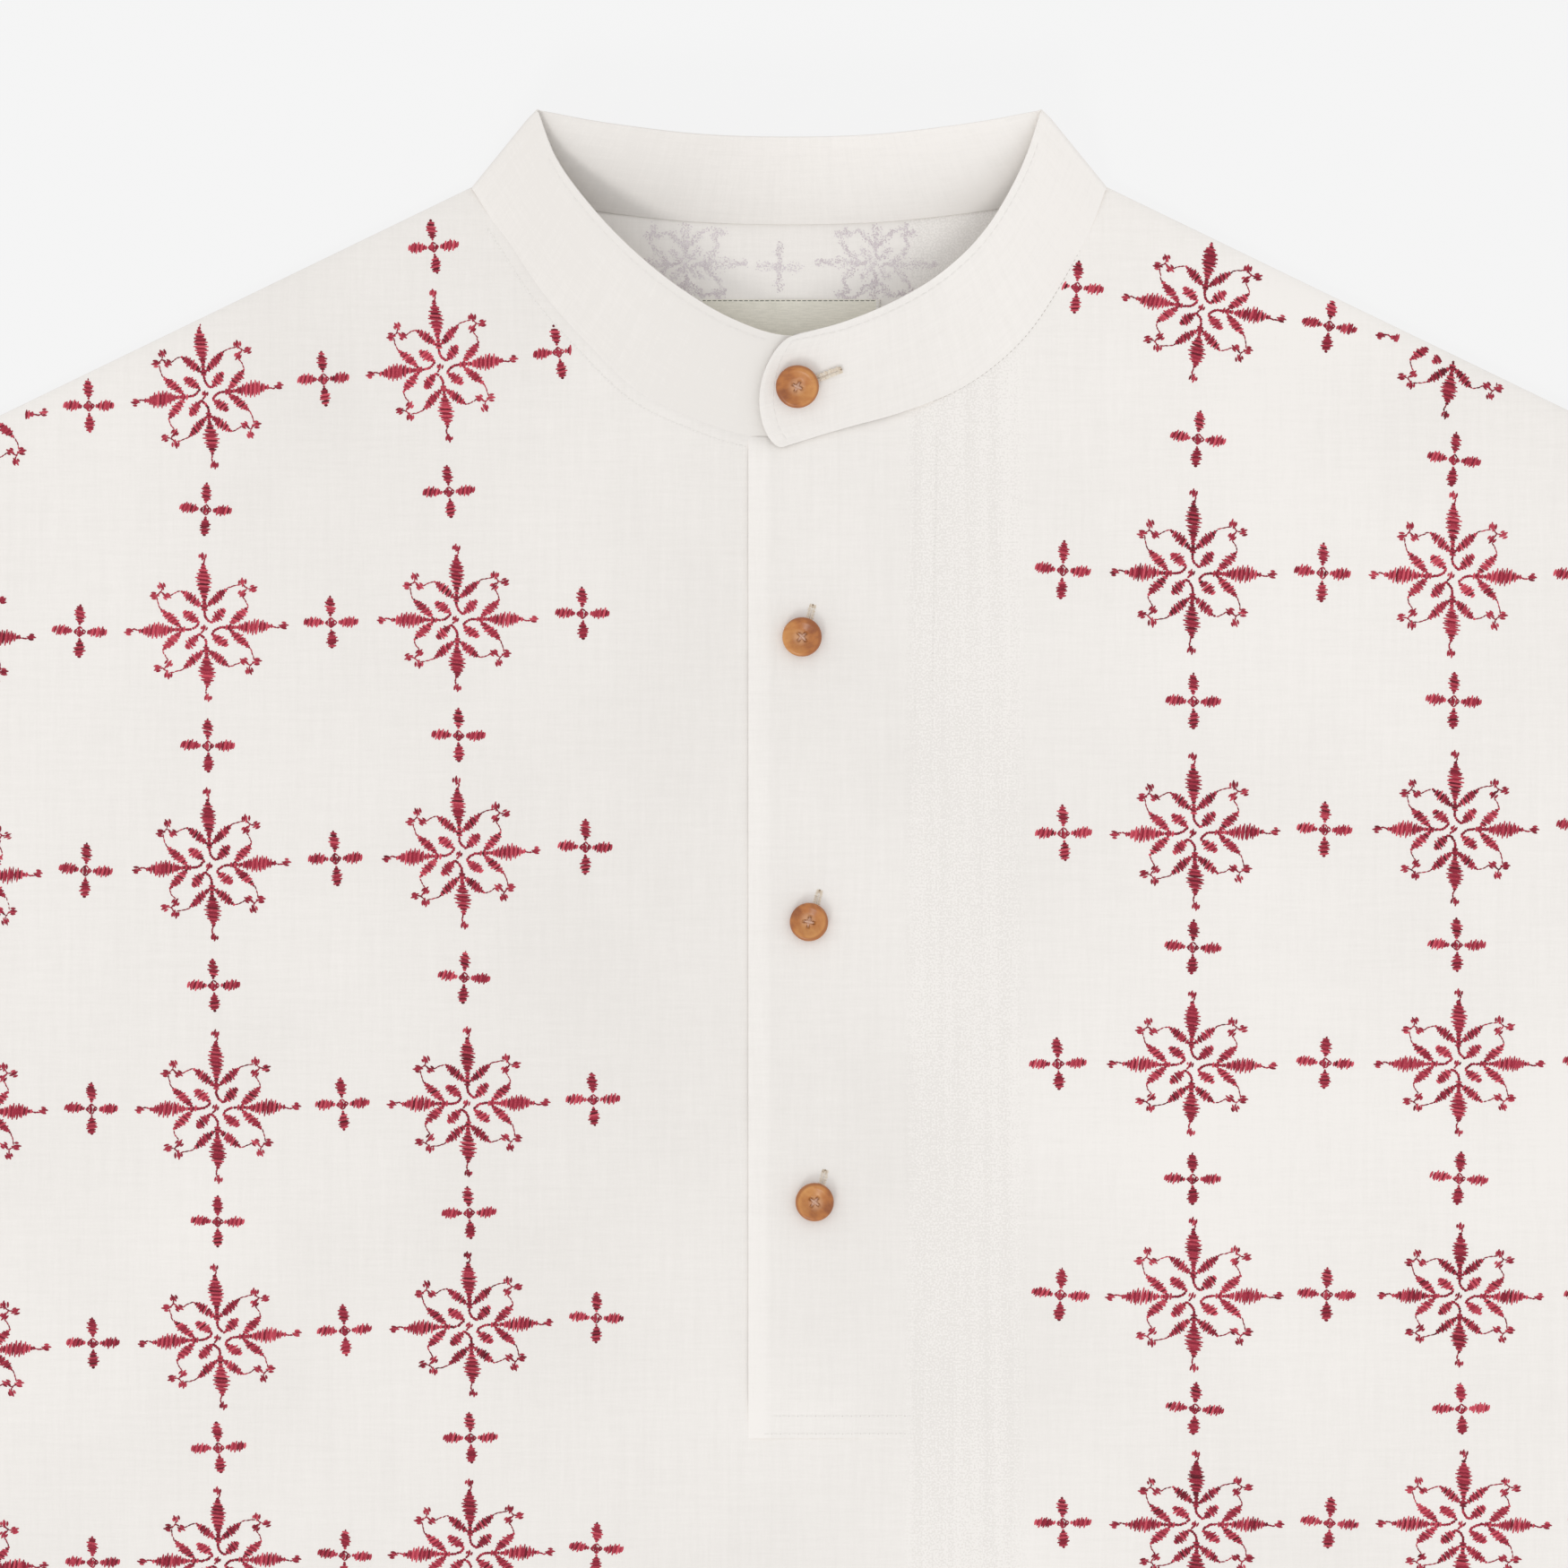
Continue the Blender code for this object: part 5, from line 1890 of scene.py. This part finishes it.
@dataclass
class Embroidery:
    """Rows of stars with small crosses between them, in crimson thread, over the body and the sleeves."""

    cut: Cut
    wardrobe: Wardrobe
    clear: float = 1.5 * MM
    left_clear: float = 4.2 * MM
    hem_clear: float = 3 * MM
    plain_step: float = 78.5 * MM
    flat_pitch: float = 1.0
    above: float = 0.47
    below: float = 0.5
    hidden_step: float = 76.0
    hidden_tall: float = 0.87
    back_start: tuple[float, float] = (-31.0, 12.0)
    back_rows: float = 68.6
    sleeve_start: tuple[float, float] = (268.0, -118.0)
    sleeve_rows: float = 70.0
    sleeve_lean: float = math.radians(6)
    sleeve_edge: float = 0.012
    ghost_dots: int = 7
    ghost_size: float = 0.36 * MM

    def lattice(
        self, table: Sequence[MotifRow], stars: Sequence[int], crosses: Sequence[float]
    ) -> tuple[Places, Places]:
        """Places of the motifs of one half.

        Stars are at whole steps across from each row's first star. Crosses are at half steps across, and
        halfway between one row's star and the next's. A motif is as wide as its row's step is long.

        Args:
            table: The rows.
            stars: Steps across of the columns of stars.
            crosses: Steps across of the crosses in a row.

        Returns:
            The places of the stars and of the crosses.
        """
        rows = np.array(table)
        first = rows[:, :2] * MM
        step = rows[:, 2:4] * MM
        lean = np.arctan2(step[:, 1], step[:, 0])
        size = np.stack([np.hypot(step[:, 0], step[:, 1]) / self.plain_step, rows[:, 4]], axis=1)
        at = first[:, None, :] + np.array(stars, float)[:, None] * step[:, None, :]
        between = first[:, None, :] + np.array(crosses, float)[:, None] * step[:, None, :]
        down = (at[:-1] + at[1:]) / 2
        above = at[:1] + (at[:1] - at[1:2]) * self.above
        tail = at[-1:] + (at[-1:] - at[-2:-1]) * self.below
        vertical = np.concatenate([above, down, tail])
        upright = np.concatenate([lean[:1], (lean[:-1] + lean[1:]) / 2, lean[-1:]])
        upright_size = np.concatenate([size[:1], (size[:-1] + size[1:]) / 2, size[-1:]])
        columns = len(stars)
        return (
            Places(at.reshape(-1, 2), np.repeat(lean, columns), np.repeat(size, columns, axis=0)),
            Places(
                np.concatenate([between.reshape(-1, 2), vertical.reshape(-1, 2)]),
                np.concatenate([np.repeat(lean, len(crosses)), np.repeat(upright, columns)]),
                np.concatenate([np.repeat(size, len(crosses), axis=0), np.repeat(upright_size, columns, axis=0)]),
            ),
        )

    def work(self, places: tuple[Places, Places], seed: int, pitch: float = 0.70) -> Stitches:
        """All the stitches of a set of places, each motif worked a little differently."""
        rng = np.random.default_rng(seed)
        stars, crosses = places
        stars.turn = stars.turn + rng.normal(0, HAND.star_turn, len(stars.turn))
        crosses.turn = crosses.turn + rng.normal(0, HAND.cross_turn, len(crosses.turn))
        flowers = StarFlower(pitch).stitches().repeated(stars, rng)
        return Stitches.joined([flowers, SmallCross(pitch).stitches().repeated(crosses, rng)])

    def on_panel(self, stitches: Stitches, neck: Callable[[Array], Array], low: float) -> Stitches:
        """Only the stitches whose two ends lie inside a panel's outline, clear of its edges."""
        cut = self.cut
        inside = np.ones(len(stitches.tone), bool)
        for point in (stitches.start, stitches.end):
            x, y = point[:, 0], point[:, 1]
            inside &= np.abs(x) < cut.half_width(y) - self.clear
            inside &= y < neck(x) - self.clear
            inside &= y > low
        return stitches.kept(inside)

    def clear_neck(self, x: Array) -> Array:
        """The front's neck edge, lower on the left, where the stars stop short of the seam."""
        return self.cut.front_neck(x) - np.where((x < 0) & (x > -self.cut.neck_half), self.left_clear, 0.0)

    def build_front(self) -> list[bpy.types.Object]:
        """The two halves of the front, either side of the placket."""
        cut = self.cut
        halves = (
            ("embroidery_front_left", LEFT_STARS, (-1, 0, 1), (-1.5, -0.5, 0.5, 1.5)),
            ("embroidery_front_right", RIGHT_STARS, (0, 1, 2), (-0.5, 0.5, 1.5)),
        )
        made = []
        for number, (name, table, stars, crosses) in enumerate(halves):
            stitches = self.work(self.lattice(table, stars, crosses), STAR_SEED + number)
            stitches = self.on_panel(stitches, self.clear_neck, cut.hem_y + self.hem_clear)
            piece = stitch_mesh(name, stitches, lambda x, y: cut.place(x, y, cut.front_top(x, y)))
            made.append(dress(piece, self.wardrobe.crimson))
        return made

    def build_back(self) -> bpy.types.Object:
        """The back's outer face, on the surface: flat stitches in the same rows right across."""
        cut = self.cut
        x, y = self.back_start
        rows = [MotifRow(x, y - self.back_rows * row, self.hidden_step, 0.0, self.hidden_tall) for row in range(11)]
        places = self.lattice(rows, range(-3, 5), np.arange(-2.5, 4.0))
        stitches = self.work(places, STAR_SEED + 7, self.flat_pitch)
        stitches = self.on_panel(stitches, cut.back_neck, cut.hem_y + self.hem_clear)
        piece = stitch_mesh("embroidery_back", stitches, lambda x, y: cut.place(x, y, 0.0), Side.DOWN, False)
        return dress(piece, self.wardrobe.crimson)

    def build_inside(self) -> bpy.types.Object:
        """The wrong side of the stars that shows inside the neck: sparse pale bobbin thread."""
        cut = self.cut
        rng = np.random.default_rng(STAR_SEED + 9)
        stars = Places(np.array(GHOST_STARS) * MM, np.array([0.02, -0.02]), np.full((2, 2), 0.72))
        crosses = Places(np.array(GHOST_CROSSES) * MM, np.zeros(1), np.full((1, 2), 0.8))
        flowers = StarFlower().stitches().repeated(stars, rng)
        stitches = Stitches.joined([flowers, SmallCross().stitches().repeated(crosses, rng)])
        stitches = self.on_panel(stitches, lambda x: cut.back_neck(x) - 1 * MM, -90 * MM)
        stitches = stitches.dotted(self.ghost_dots, self.ghost_size, rng)
        piece = stitch_mesh(
            "embroidery_inside",
            stitches,
            lambda x, y: cut.place(x, y, cut.back_top(x, y) + 0.03 * MM),
            rounded=False,
        )
        return dress(piece, self.wardrobe.bobbin)

    def build_sleeve(self, sleeve: Sleeve) -> list[bpy.types.Object]:
        """Both layers of a sleeve: rows that follow its slope, out from the armhole to the hem."""
        cut = self.cut
        hand = sleeve.hand
        lean = -sleeve.angle - self.sleeve_lean
        ahead = np.array([math.cos(lean), math.sin(lean)])
        down = -left_of(ahead) * self.sleeve_rows
        step = ahead * self.hidden_step
        table = [MotifRow(*(self.sleeve_start + down * row), *step, self.hidden_tall) for row in range(-1, 5)]
        made = []
        for layer, side, rounded in (("upper", Side.UP, True), ("lower", Side.DOWN, False)):
            places = self.lattice(table, range(-1, 4), np.arange(-0.5, 4.0))
            pitch = StarFlower.pitch if rounded else self.flat_pitch
            stitches = self.work(places, STAR_SEED + 13 + int(hand) + 3 * (side is Side.DOWN), pitch)
            stitches = self.on_sleeve(stitches, sleeve)
            flip = np.array([hand, 1.0])
            stitches.start = stitches.start * flip
            stitches.end = stitches.end * flip

            def face(x: Array, y: Array, side: Side = side) -> Array:
                """Points of the sleeve's layer under x and y."""
                if side is Side.DOWN:
                    return cut.place(x, y, 0.0)
                share, along = self.sleeve_place(np.stack([x * hand, y], axis=-1), sleeve)
                return cut.place(x, y, sleeve.top_height(share, along))

            piece = stitch_mesh(f"embroidery_{sleeve.node}_{layer}", stitches, face, side, rounded)
            made.append(dress(piece, self.wardrobe.crimson))
        return made

    def sleeve_place(self, points: Array, sleeve: Sleeve) -> tuple[Array, Array]:
        """Shares across and along a sleeve of points in plan, found by a few steps of Newton's method.

        Args:
            points: Points with x and y last, for a sleeve on the right.
            sleeve: The sleeve.

        Returns:
            The share across and the share along of each point.
        """
        share = np.full(points.shape[:-1], 0.5)
        along = np.full(points.shape[:-1], 0.5)
        step = 1e-4
        for _ in range(7):
            here = sleeve.plan(share, along)
            by_share = (sleeve.plan(share + step, along) - here) / step
            by_along = (sleeve.plan(share, along + step) - here) / step
            miss = points - here
            area = by_share[..., 0] * by_along[..., 1] - by_share[..., 1] * by_along[..., 0]
            area = np.where(np.abs(area) < 1e-9, 1e-9, area)
            share = share + (miss[..., 0] * by_along[..., 1] - miss[..., 1] * by_along[..., 0]) / area
            along = along + (by_share[..., 0] * miss[..., 1] - by_share[..., 1] * miss[..., 0]) / area
            share = np.clip(share, -0.3, 1.3)
            along = np.clip(along, -0.3, 1.3)
        return share, along

    def on_sleeve(self, stitches: Stitches, sleeve: Sleeve) -> Stitches:
        """Only the stitches whose two ends lie inside the sleeve's outline, at places that were truly found."""
        inside = np.ones(len(stitches.tone), bool)
        for point in (stitches.start, stitches.end):
            share, along = self.sleeve_place(point, sleeve)
            inside &= (share > self.sleeve_edge) & (share < 1 - self.sleeve_edge)
            inside &= (along > self.sleeve_edge) & (along < 0.985)
            miss = np.linalg.norm(sleeve.plan(share, along) - point, axis=-1)
            inside &= miss < 0.1 * MM
        return stitches.kept(inside)


# Sewing

HOLE_PITCH = 0.42
HOLE_SIDE = 1.15
HOLE_SLIT = 0.14
HOLE_WANDER = 0.08


@dataclass
class Sewing:
    """Topstitching, buttonholes and the label's seam."""

    cut: Cut
    wardrobe: Wardrobe
    placket: Placket
    collar: Collar
    pitch: float = 2.7 * MM
    length: float = 2.2 * MM
    width: float = 0.42 * MM
    height: float = 0.14 * MM
    # size of the dark marks painted as the shade of the needle holes
    hole_reach: float = 0.22 * MM
    hole_width: float = 0.40 * MM
    hole_height: float = 0.06 * MM
    # the fine dark line beside the over end's seam: painted shade in its ditch, over a stitch in the ditch
    ditch: float = 0.35 * MM
    ditch_pitch: float = 1.6 * MM
    ditch_width: float = 0.30 * MM
    ditch_height: float = 0.03 * MM
    beside_collar: float = 3.6 * MM
    label_edge_y: float = -34.6
    label_ends: int = 36
    label_pitch: float = 0.58 * MM

    def running(self, points: Array, tone: float = 0.75, hole: float = 0.14) -> Stitches:
        """A row of running stitches along a line in plan, with a dark mark in each gap, painted shade of the needle
        hole.

        Args:
            points: The line, one point a row, in metres.
            tone: Shade of the thread.
            hole: Tone of the painted shade at the needle holes.

        Returns:
            The stitches and the painted shade at the holes.
        """
        line = resampled(points, self.pitch)
        ahead = unit(np.diff(line, axis=0))
        middle = (line[1:] + line[:-1]) / 2
        reach = ahead * self.length / 2
        thread = Stitches(middle - reach, middle + reach, self.width, self.height, tone)
        # a dark flat mark at each needle hole: painted shade
        reach = ahead * self.hole_reach
        holes = Stitches(line[:-1] - reach, line[:-1] + reach, self.hole_width, self.hole_height, hole)
        return Stitches.joined([thread, holes])

    def ditch_line(self, points: Array) -> Stitches:
        """A fine dark line along a seam, from points in plan: flat stitches in the thread's darkest tone that meet
        end to end; beside the collar it is painted shade in the seam's ditch.
        """
        line = resampled(points, self.ditch_pitch)
        return Stitches(line[:-1], line[1:], self.ditch_width, self.ditch_height, -0.2)

    def line(self, *points: Sequence[float]) -> Array:
        """A straight or bent line from points in millimetres."""
        return np.array(points, float) * MM

    def build_placket(self) -> bpy.types.Object:
        """The over strip's right side and the box at its foot."""
        cut = self.cut
        right = self.line((44.4, -76.0), (43.0, -150.0), (41.6, -250.0), (40.2, -371.0))
        foot = self.line((40.2, -376.2), (-8.0, -376.2))
        upper = self.line((40.2, -370.8), (-5.5, -370.8))
        stitches = Stitches.joined([self.running(line, 0.9, 0.32) for line in (right, foot, upper)])

        def face(x: Array, y: Array) -> Array:
            """The strip's face, or the front's past its right edge."""
            on_strip = (x < self.placket.right) & (y > self.placket.foot_y)
            height = np.where(on_strip, self.placket.height(x, y), cut.front_top(x, y))
            return cut.place(x, y, height + THREAD_GAP)

        piece = stitch_mesh("topstitch_placket", stitches, face)
        return dress(piece, self.wardrobe.white)

    def build_body(self) -> bpy.types.Object:
        """The hem, the shoulders, the armholes and the seam beside the left of the collar."""
        cut = self.cut
        across = np.linspace(-1, 1, 60)
        hem_y = cut.hem_y + cut.hem_depth
        rows = [self.running(np.stack([across * (cut.chest_half - 3 * MM), np.full(60, hem_y)], axis=1))]
        for hand in (-1, 1):
            y = np.linspace(-cut.shoulder_drop - 3 * MM, cut.underarm_y, 50)
            rows.append(self.running(np.stack([hand * (cut.half_width(y) - 6 * MM), y], axis=1)))
        under = smooth_rows(UNDER_FRONT, 80)[8:74, :2]
        outside = under + left_of(unit(np.gradient(under, axis=0))) * self.beside_collar
        rows.append(self.running(outside[outside[:, 0] < self.placket.left], 0.85, 0.42))
        # a fine dark line just outside the over end's seam: painted shade in the ditch of that seam, over a stitch
        # in the ditch
        over = smooth_rows(OVER_FRONT, 160)[2:, :2]
        outside = over + left_of(unit(np.gradient(over, axis=0))) * self.ditch
        rows.append(self.ditch_line(outside[outside[:, 0] > self.placket.right]))
        piece = stitch_mesh("topstitch_body", Stitches.joined(rows), cut.on_front)
        return dress(piece, self.wardrobe.white)

    def build_label(self, label: NeckLabel) -> list[bpy.types.Object]:
        """A fine dark line of stitches along the label's top edge, and its two white ends, folded and whipped."""
        cut = self.cut
        edge = self.line((-26.6, self.label_edge_y), (26.0, self.label_edge_y))
        rows = self.label_edge_y * MM - np.arange(self.label_ends) * self.label_pitch
        side = np.repeat([-1.0, 1.0], len(rows))
        inner = np.stack([side * 26.1 * MM, np.tile(rows, 2)], axis=1)
        outer = np.stack([side * 27.2 * MM, np.tile(rows, 2) + 0.1 * MM], axis=1)
        tone = np.random.default_rng(SEWING_SEED + 3).uniform(0.6, 1.0, len(inner))
        ends = Stitches(inner, outer, 0.6 * MM, 0.2 * MM, tone)
        finishes = (
            ("topstitch_label", self.ditch_line(edge), self.wardrobe.grey),
            ("label_ends", ends, self.wardrobe.white),
        )

        def face(x: Array, y: Array) -> Array:
            """The label's face, with its lower edge lifting a little."""
            return cut.place(x, y, cut.panel_step + label.cloth + 0.12 * MM + label.lift(x, y))

        return [dress(stitch_mesh(name, work, face), finish) for name, work, finish in finishes]

    def build_sleeve(self, sleeve: Sleeve, embroidery: Embroidery) -> bpy.types.Object:
        """The stitch line of a sleeve's hem, on its upper layer."""
        cut = self.cut
        hand = sleeve.hand
        share = np.linspace(0.012, 0.988, 60)
        plan = sleeve.plan(share, np.full(60, 1 - 20 * MM / sleeve.length))
        plan[:, 0] *= hand
        stitches = self.running(plan)

        def face(x: Array, y: Array) -> Array:
            """The sleeve's upper layer under x and y."""
            at_share, at_along = embroidery.sleeve_place(np.stack([x * hand, y], axis=-1), sleeve)
            return cut.place(x, y, sleeve.top_height(at_share, at_along) + THREAD_GAP)

        piece = stitch_mesh("topstitch_" + sleeve.node, stitches, face)
        return dress(piece, self.wardrobe.white)

    def build_collar(self) -> bpy.types.Object:
        """The topstitch along the top of the collar's front, a little below its edge, down its rounded end.

        The stitches are laid on the band's outer face: their plan comes from the grid's rows, and each is
        raised along the band's normal.
        """
        cut = self.cut
        collar = self.collar
        shares = np.array([collar.thin_from, 0.93, 1.0])
        middle = collar.middle(shares)
        normals = surface_normals(middle)[1]
        normals = normals * np.sign(normals[:, 2:3])
        line = middle[1] + normals * (collar.half_wall(shares)[1] + THREAD_GAP)
        count = len(line)
        over = line[count - collar.over_columns + 4 : count - 2]
        under = line[14 : collar.under_columns - 6]
        rise = (1 - np.cos(np.linspace(0.35, math.pi - 0.5, 24))) / 2
        end_middle = collar.middle(rise)
        end_normals = surface_normals(end_middle)
        end_normals = end_normals * np.sign(end_normals[..., 2:3])
        raised = collar.half_wall(rise)[:, None, None] + THREAD_GAP
        end = (end_middle + end_normals * raised)[::-1, count - 3]
        made = [self.strip(resampled(part, self.pitch)) for part in (over, under, end)]
        points = np.concatenate([part[0] for part in made])
        starts = np.cumsum([0, *(len(part[0]) for part in made[:-1])])
        quads = np.concatenate([part[1] + start for part, start in zip(made, starts)])
        tone = np.concatenate([part[2] for part in made])
        piece = put_mesh("topstitch_collar", cut.moved(points), quads, tone=tone)
        return dress(piece, self.wardrobe.white)

    def strip(self, line: Array) -> tuple[Array, Array, Array]:
        """Running stitches along a line in space, each a low lozenge of three by three points.

        Args:
            line: Points along it, one stitch apart.

        Returns:
            Points, faces and tones.
        """
        ahead = unit(np.diff(line, axis=0))
        aside = unit(np.cross((0.0, 0.0, 1.0), ahead))
        middle = (line[1:] + line[:-1]) / 2
        along = np.array([-0.5, 0.0, 0.5])[:, None, None] * self.length
        across = np.array([-0.5, 0.0, 0.5])[None, :, None] * self.width
        taper = np.array([0.5, 1.0, 0.5])[:, None, None]
        height = np.array([[0.0, 0.3, 0.0], [0.2, 1.0, 0.2], [0.0, 0.3, 0.0]])[..., None] * 0.16 * MM
        points = (
            middle[:, None, None, :]
            + along * ahead[:, None, None, :]
            + across * taper * aside[:, None, None, :]
            + height * np.array([0.0, 0.0, 1.0])
        )
        quads = repeated_quads(grid_quads(3, 3), len(middle), 9)[:, ::-1]
        return points.reshape(-1, 3), quads, np.full(len(middle) * 9, 0.7)

    def buttonhole(self, start: Array, turn: float, length: float, seed: int) -> Stitches:
        """One buttonhole: two rows of close stitches with a dark slit between, painted shade of the cut, a bar at
        its far end, and a dark dot past it, painted shade of a small hole.

        Args:
            start: Its near end, in millimetres.
            turn: Its direction, in degrees.
            length: How long it is, in millimetres.
            seed: For the small unevenness of its stitches.

        Returns:
            The stitches, in metres.
        """
        rng = np.random.default_rng(seed)
        count = int(length / HOLE_PITCH)
        along = (np.arange(count) + 0.5) * HOLE_PITCH
        rows = []
        for side in (-1, 1):
            lean = rng.normal(0, HOLE_WANDER, count)
            inner = np.stack([along, np.full(count, side * HOLE_SLIT)], axis=1)
            outer = np.stack([along + lean, side * (HOLE_SIDE + rng.normal(0, HOLE_WANDER, count))], axis=1)
            rows.append(Stitches(inner, outer, 0.44, 0.22, rng.uniform(0.45, 0.95, count)))
        bar = np.linspace(-0.85, 0.85, 5)
        near = np.stack([np.full(5, length - 0.2), bar], axis=1)
        far = np.stack([np.full(5, length + 1.0), bar * 0.9], axis=1)
        rows.append(Stitches(near, far, 0.46, 0.3, rng.uniform(0.3, 0.8, 5)))
        # the slit: a dark line, painted shade of the opening
        slit = np.array([[0.0, 0.0], [length - 0.3, 0.0]])
        rows.append(Stitches(slit[:1], slit[1:], 0.18, 0.12, 0.3))
        # a dark dot past the bar: painted shade of a small hole
        dot = np.array([[length + 0.35, 0.0], [length + 1.05, 0.1]])
        rows.append(Stitches(dot[:1], dot[1:], 0.55, 0.42, -0.2))
        return Stitches.joined(rows).turned(turn, MM, start * MM)

    def build_buttonholes(self) -> bpy.types.Object:
        """The three buttonholes of the strip, which run up from under their buttons and lean a little."""
        cut = self.cut
        holes = []
        for number, place in enumerate(BUTTON_PLACES[1:]):
            start = np.array([place.x + 0.2, place.y - 2.0])
            reach = place.diameter / 2 + 2.0 + 3.3
            holes.append(self.buttonhole(start, 75.0, reach, SEWING_SEED + number))
        stitches = Stitches.joined(holes)
        piece = stitch_mesh(
            "buttonholes", stitches, lambda x, y: cut.place(x, y, self.placket.height(x, y) + THREAD_GAP)
        )
        return dress(piece, self.wardrobe.beige)

    def build_collar_buttonhole(self) -> bpy.types.Object:
        """The collar's buttonhole, which runs out to the right and up from under its button."""
        cut = self.cut
        origin, axes = Button(cut, self.wardrobe, BUTTON_PLACES[0]).pose()
        start = np.array([BUTTON_PLACES[0].x + 1.0, BUTTON_PLACES[0].y + 0.4])
        stitches = self.buttonhole(start, 20.0, 12.2, SEWING_SEED + 9)
        slope = -axes[2][:2] / axes[2][2]

        def face(x: Array, y: Array) -> Array:
            """The plane that the collar's button lies on, a button's gap lower."""
            dx = x - origin[0]
            dy = y + cut.origin_y - origin[1]
            return cut.place(x, y, origin[2] - 0.28 * MM + dx * slope[0] + dy * slope[1])

        piece = stitch_mesh("buttonhole_collar", stitches, face)
        return dress(piece, self.wardrobe.beige)


# The studio


@dataclass(frozen=True)
class Studio:
    """A pale floor, an even soft sky, one low soft lamp from the left, and a camera straight above."""

    centre_x: float = -0.00162
    centre_y: float = 0.17864
    seen_width: float = 0.4725
    lens: float = 200.0
    sensor: float = 36.0
    focus_z: float = 0.0042
    floor_z: float = -0.0006
    floor_half: float = 6.0
    sky: float = 0.876
    lamp: float = 0.54
    lamp_turn: float = 249.0
    lamp_height: float = 40.0
    lamp_size: float = 18.0

    def build_floor(self) -> bpy.types.Object:
        """A flat floor, as a small grid."""
        steps = np.linspace(-self.floor_half, self.floor_half, 5)
        x, y = np.meshgrid(steps, steps)
        points = np.stack([x, y, np.full_like(x, self.floor_z)], axis=-1).reshape(-1, 3)
        floor = put_mesh("floor", points, grid_quads(5, 5).reshape(-1, 4))
        floor.data.materials.append(FloorPaint().material())
        return floor

    def build_lights(self) -> None:
        """An even world and a lamp as wide as a softbox, low on the left."""
        world = bpy.data.worlds.new("soft_sky")
        world.use_nodes = True
        sky = world.node_tree.nodes["Background"]
        sky.inputs["Color"].default_value = (1.0, 1.0, 1.0, 1.0)
        sky.inputs["Strength"].default_value = self.sky
        bpy.context.scene.world = world
        lamp = bpy.data.lights.new("softbox", "SUN")
        lamp.energy = self.lamp
        lamp.angle = math.radians(self.lamp_size)
        lamp.color = (1.0, 0.99, 0.97)
        holder = bpy.data.objects.new("softbox", lamp)
        turn = math.radians(self.lamp_turn)
        holder.rotation_euler = (math.radians(90 - self.lamp_height), 0.0, turn + math.pi / 2)
        bpy.context.scene.collection.objects.link(holder)

    def build_camera(self) -> None:
        """A camera square to the surface, whose view is as wide as the picture at the shirt's face."""
        camera = bpy.data.cameras.new("camera")
        camera.lens = self.lens
        camera.sensor_width = self.sensor
        camera.clip_end = 50.0
        holder = bpy.data.objects.new("camera", camera)
        distance = self.seen_width * self.lens / self.sensor
        holder.location = (self.centre_x, self.centre_y, self.focus_z + distance)
        bpy.context.scene.collection.objects.link(holder)
        bpy.context.scene.camera = holder
        bpy.context.scene.view_settings.view_transform = "Standard"


def main() -> None:
    """Builds the shirt piece by piece, then the studio."""
    logging.basicConfig(level=logging.INFO, format="%(name)s: %(message)s")
    cut = Cut()
    wardrobe = Wardrobe()
    panels = BodyPanels(cut, wardrobe)
    panels.build_back()
    panels.build_front()
    placket = Placket(cut, wardrobe)
    placket.build_under()
    placket.build_over()
    collar = Collar(cut, wardrobe)
    collar.build()
    label = NeckLabel(cut, wardrobe)
    label.build()
    embroidery = Embroidery(cut, wardrobe)
    embroidery.build_front()
    embroidery.build_back()
    embroidery.build_inside()
    sewing = Sewing(cut, wardrobe, placket, collar)
    sewing.build_placket()
    sewing.build_body()
    sewing.build_label(label)
    sewing.build_collar()
    sewing.build_buttonholes()
    sewing.build_collar_buttonhole()
    for node, hand in (("sleeve_left", -1.0), ("sleeve_right", 1.0)):
        sleeve = Sleeve(cut, wardrobe, node, hand)
        sleeve.build()
        embroidery.build_sleeve(sleeve)
        sewing.build_sleeve(sleeve, embroidery)
    for place in BUTTON_PLACES:
        button = Button(cut, wardrobe, place)
        button.build()
        button.build_thread()
    studio = Studio()
    studio.build_floor()
    studio.build_lights()
    studio.build_camera()


if __name__ == "__main__":
    main()
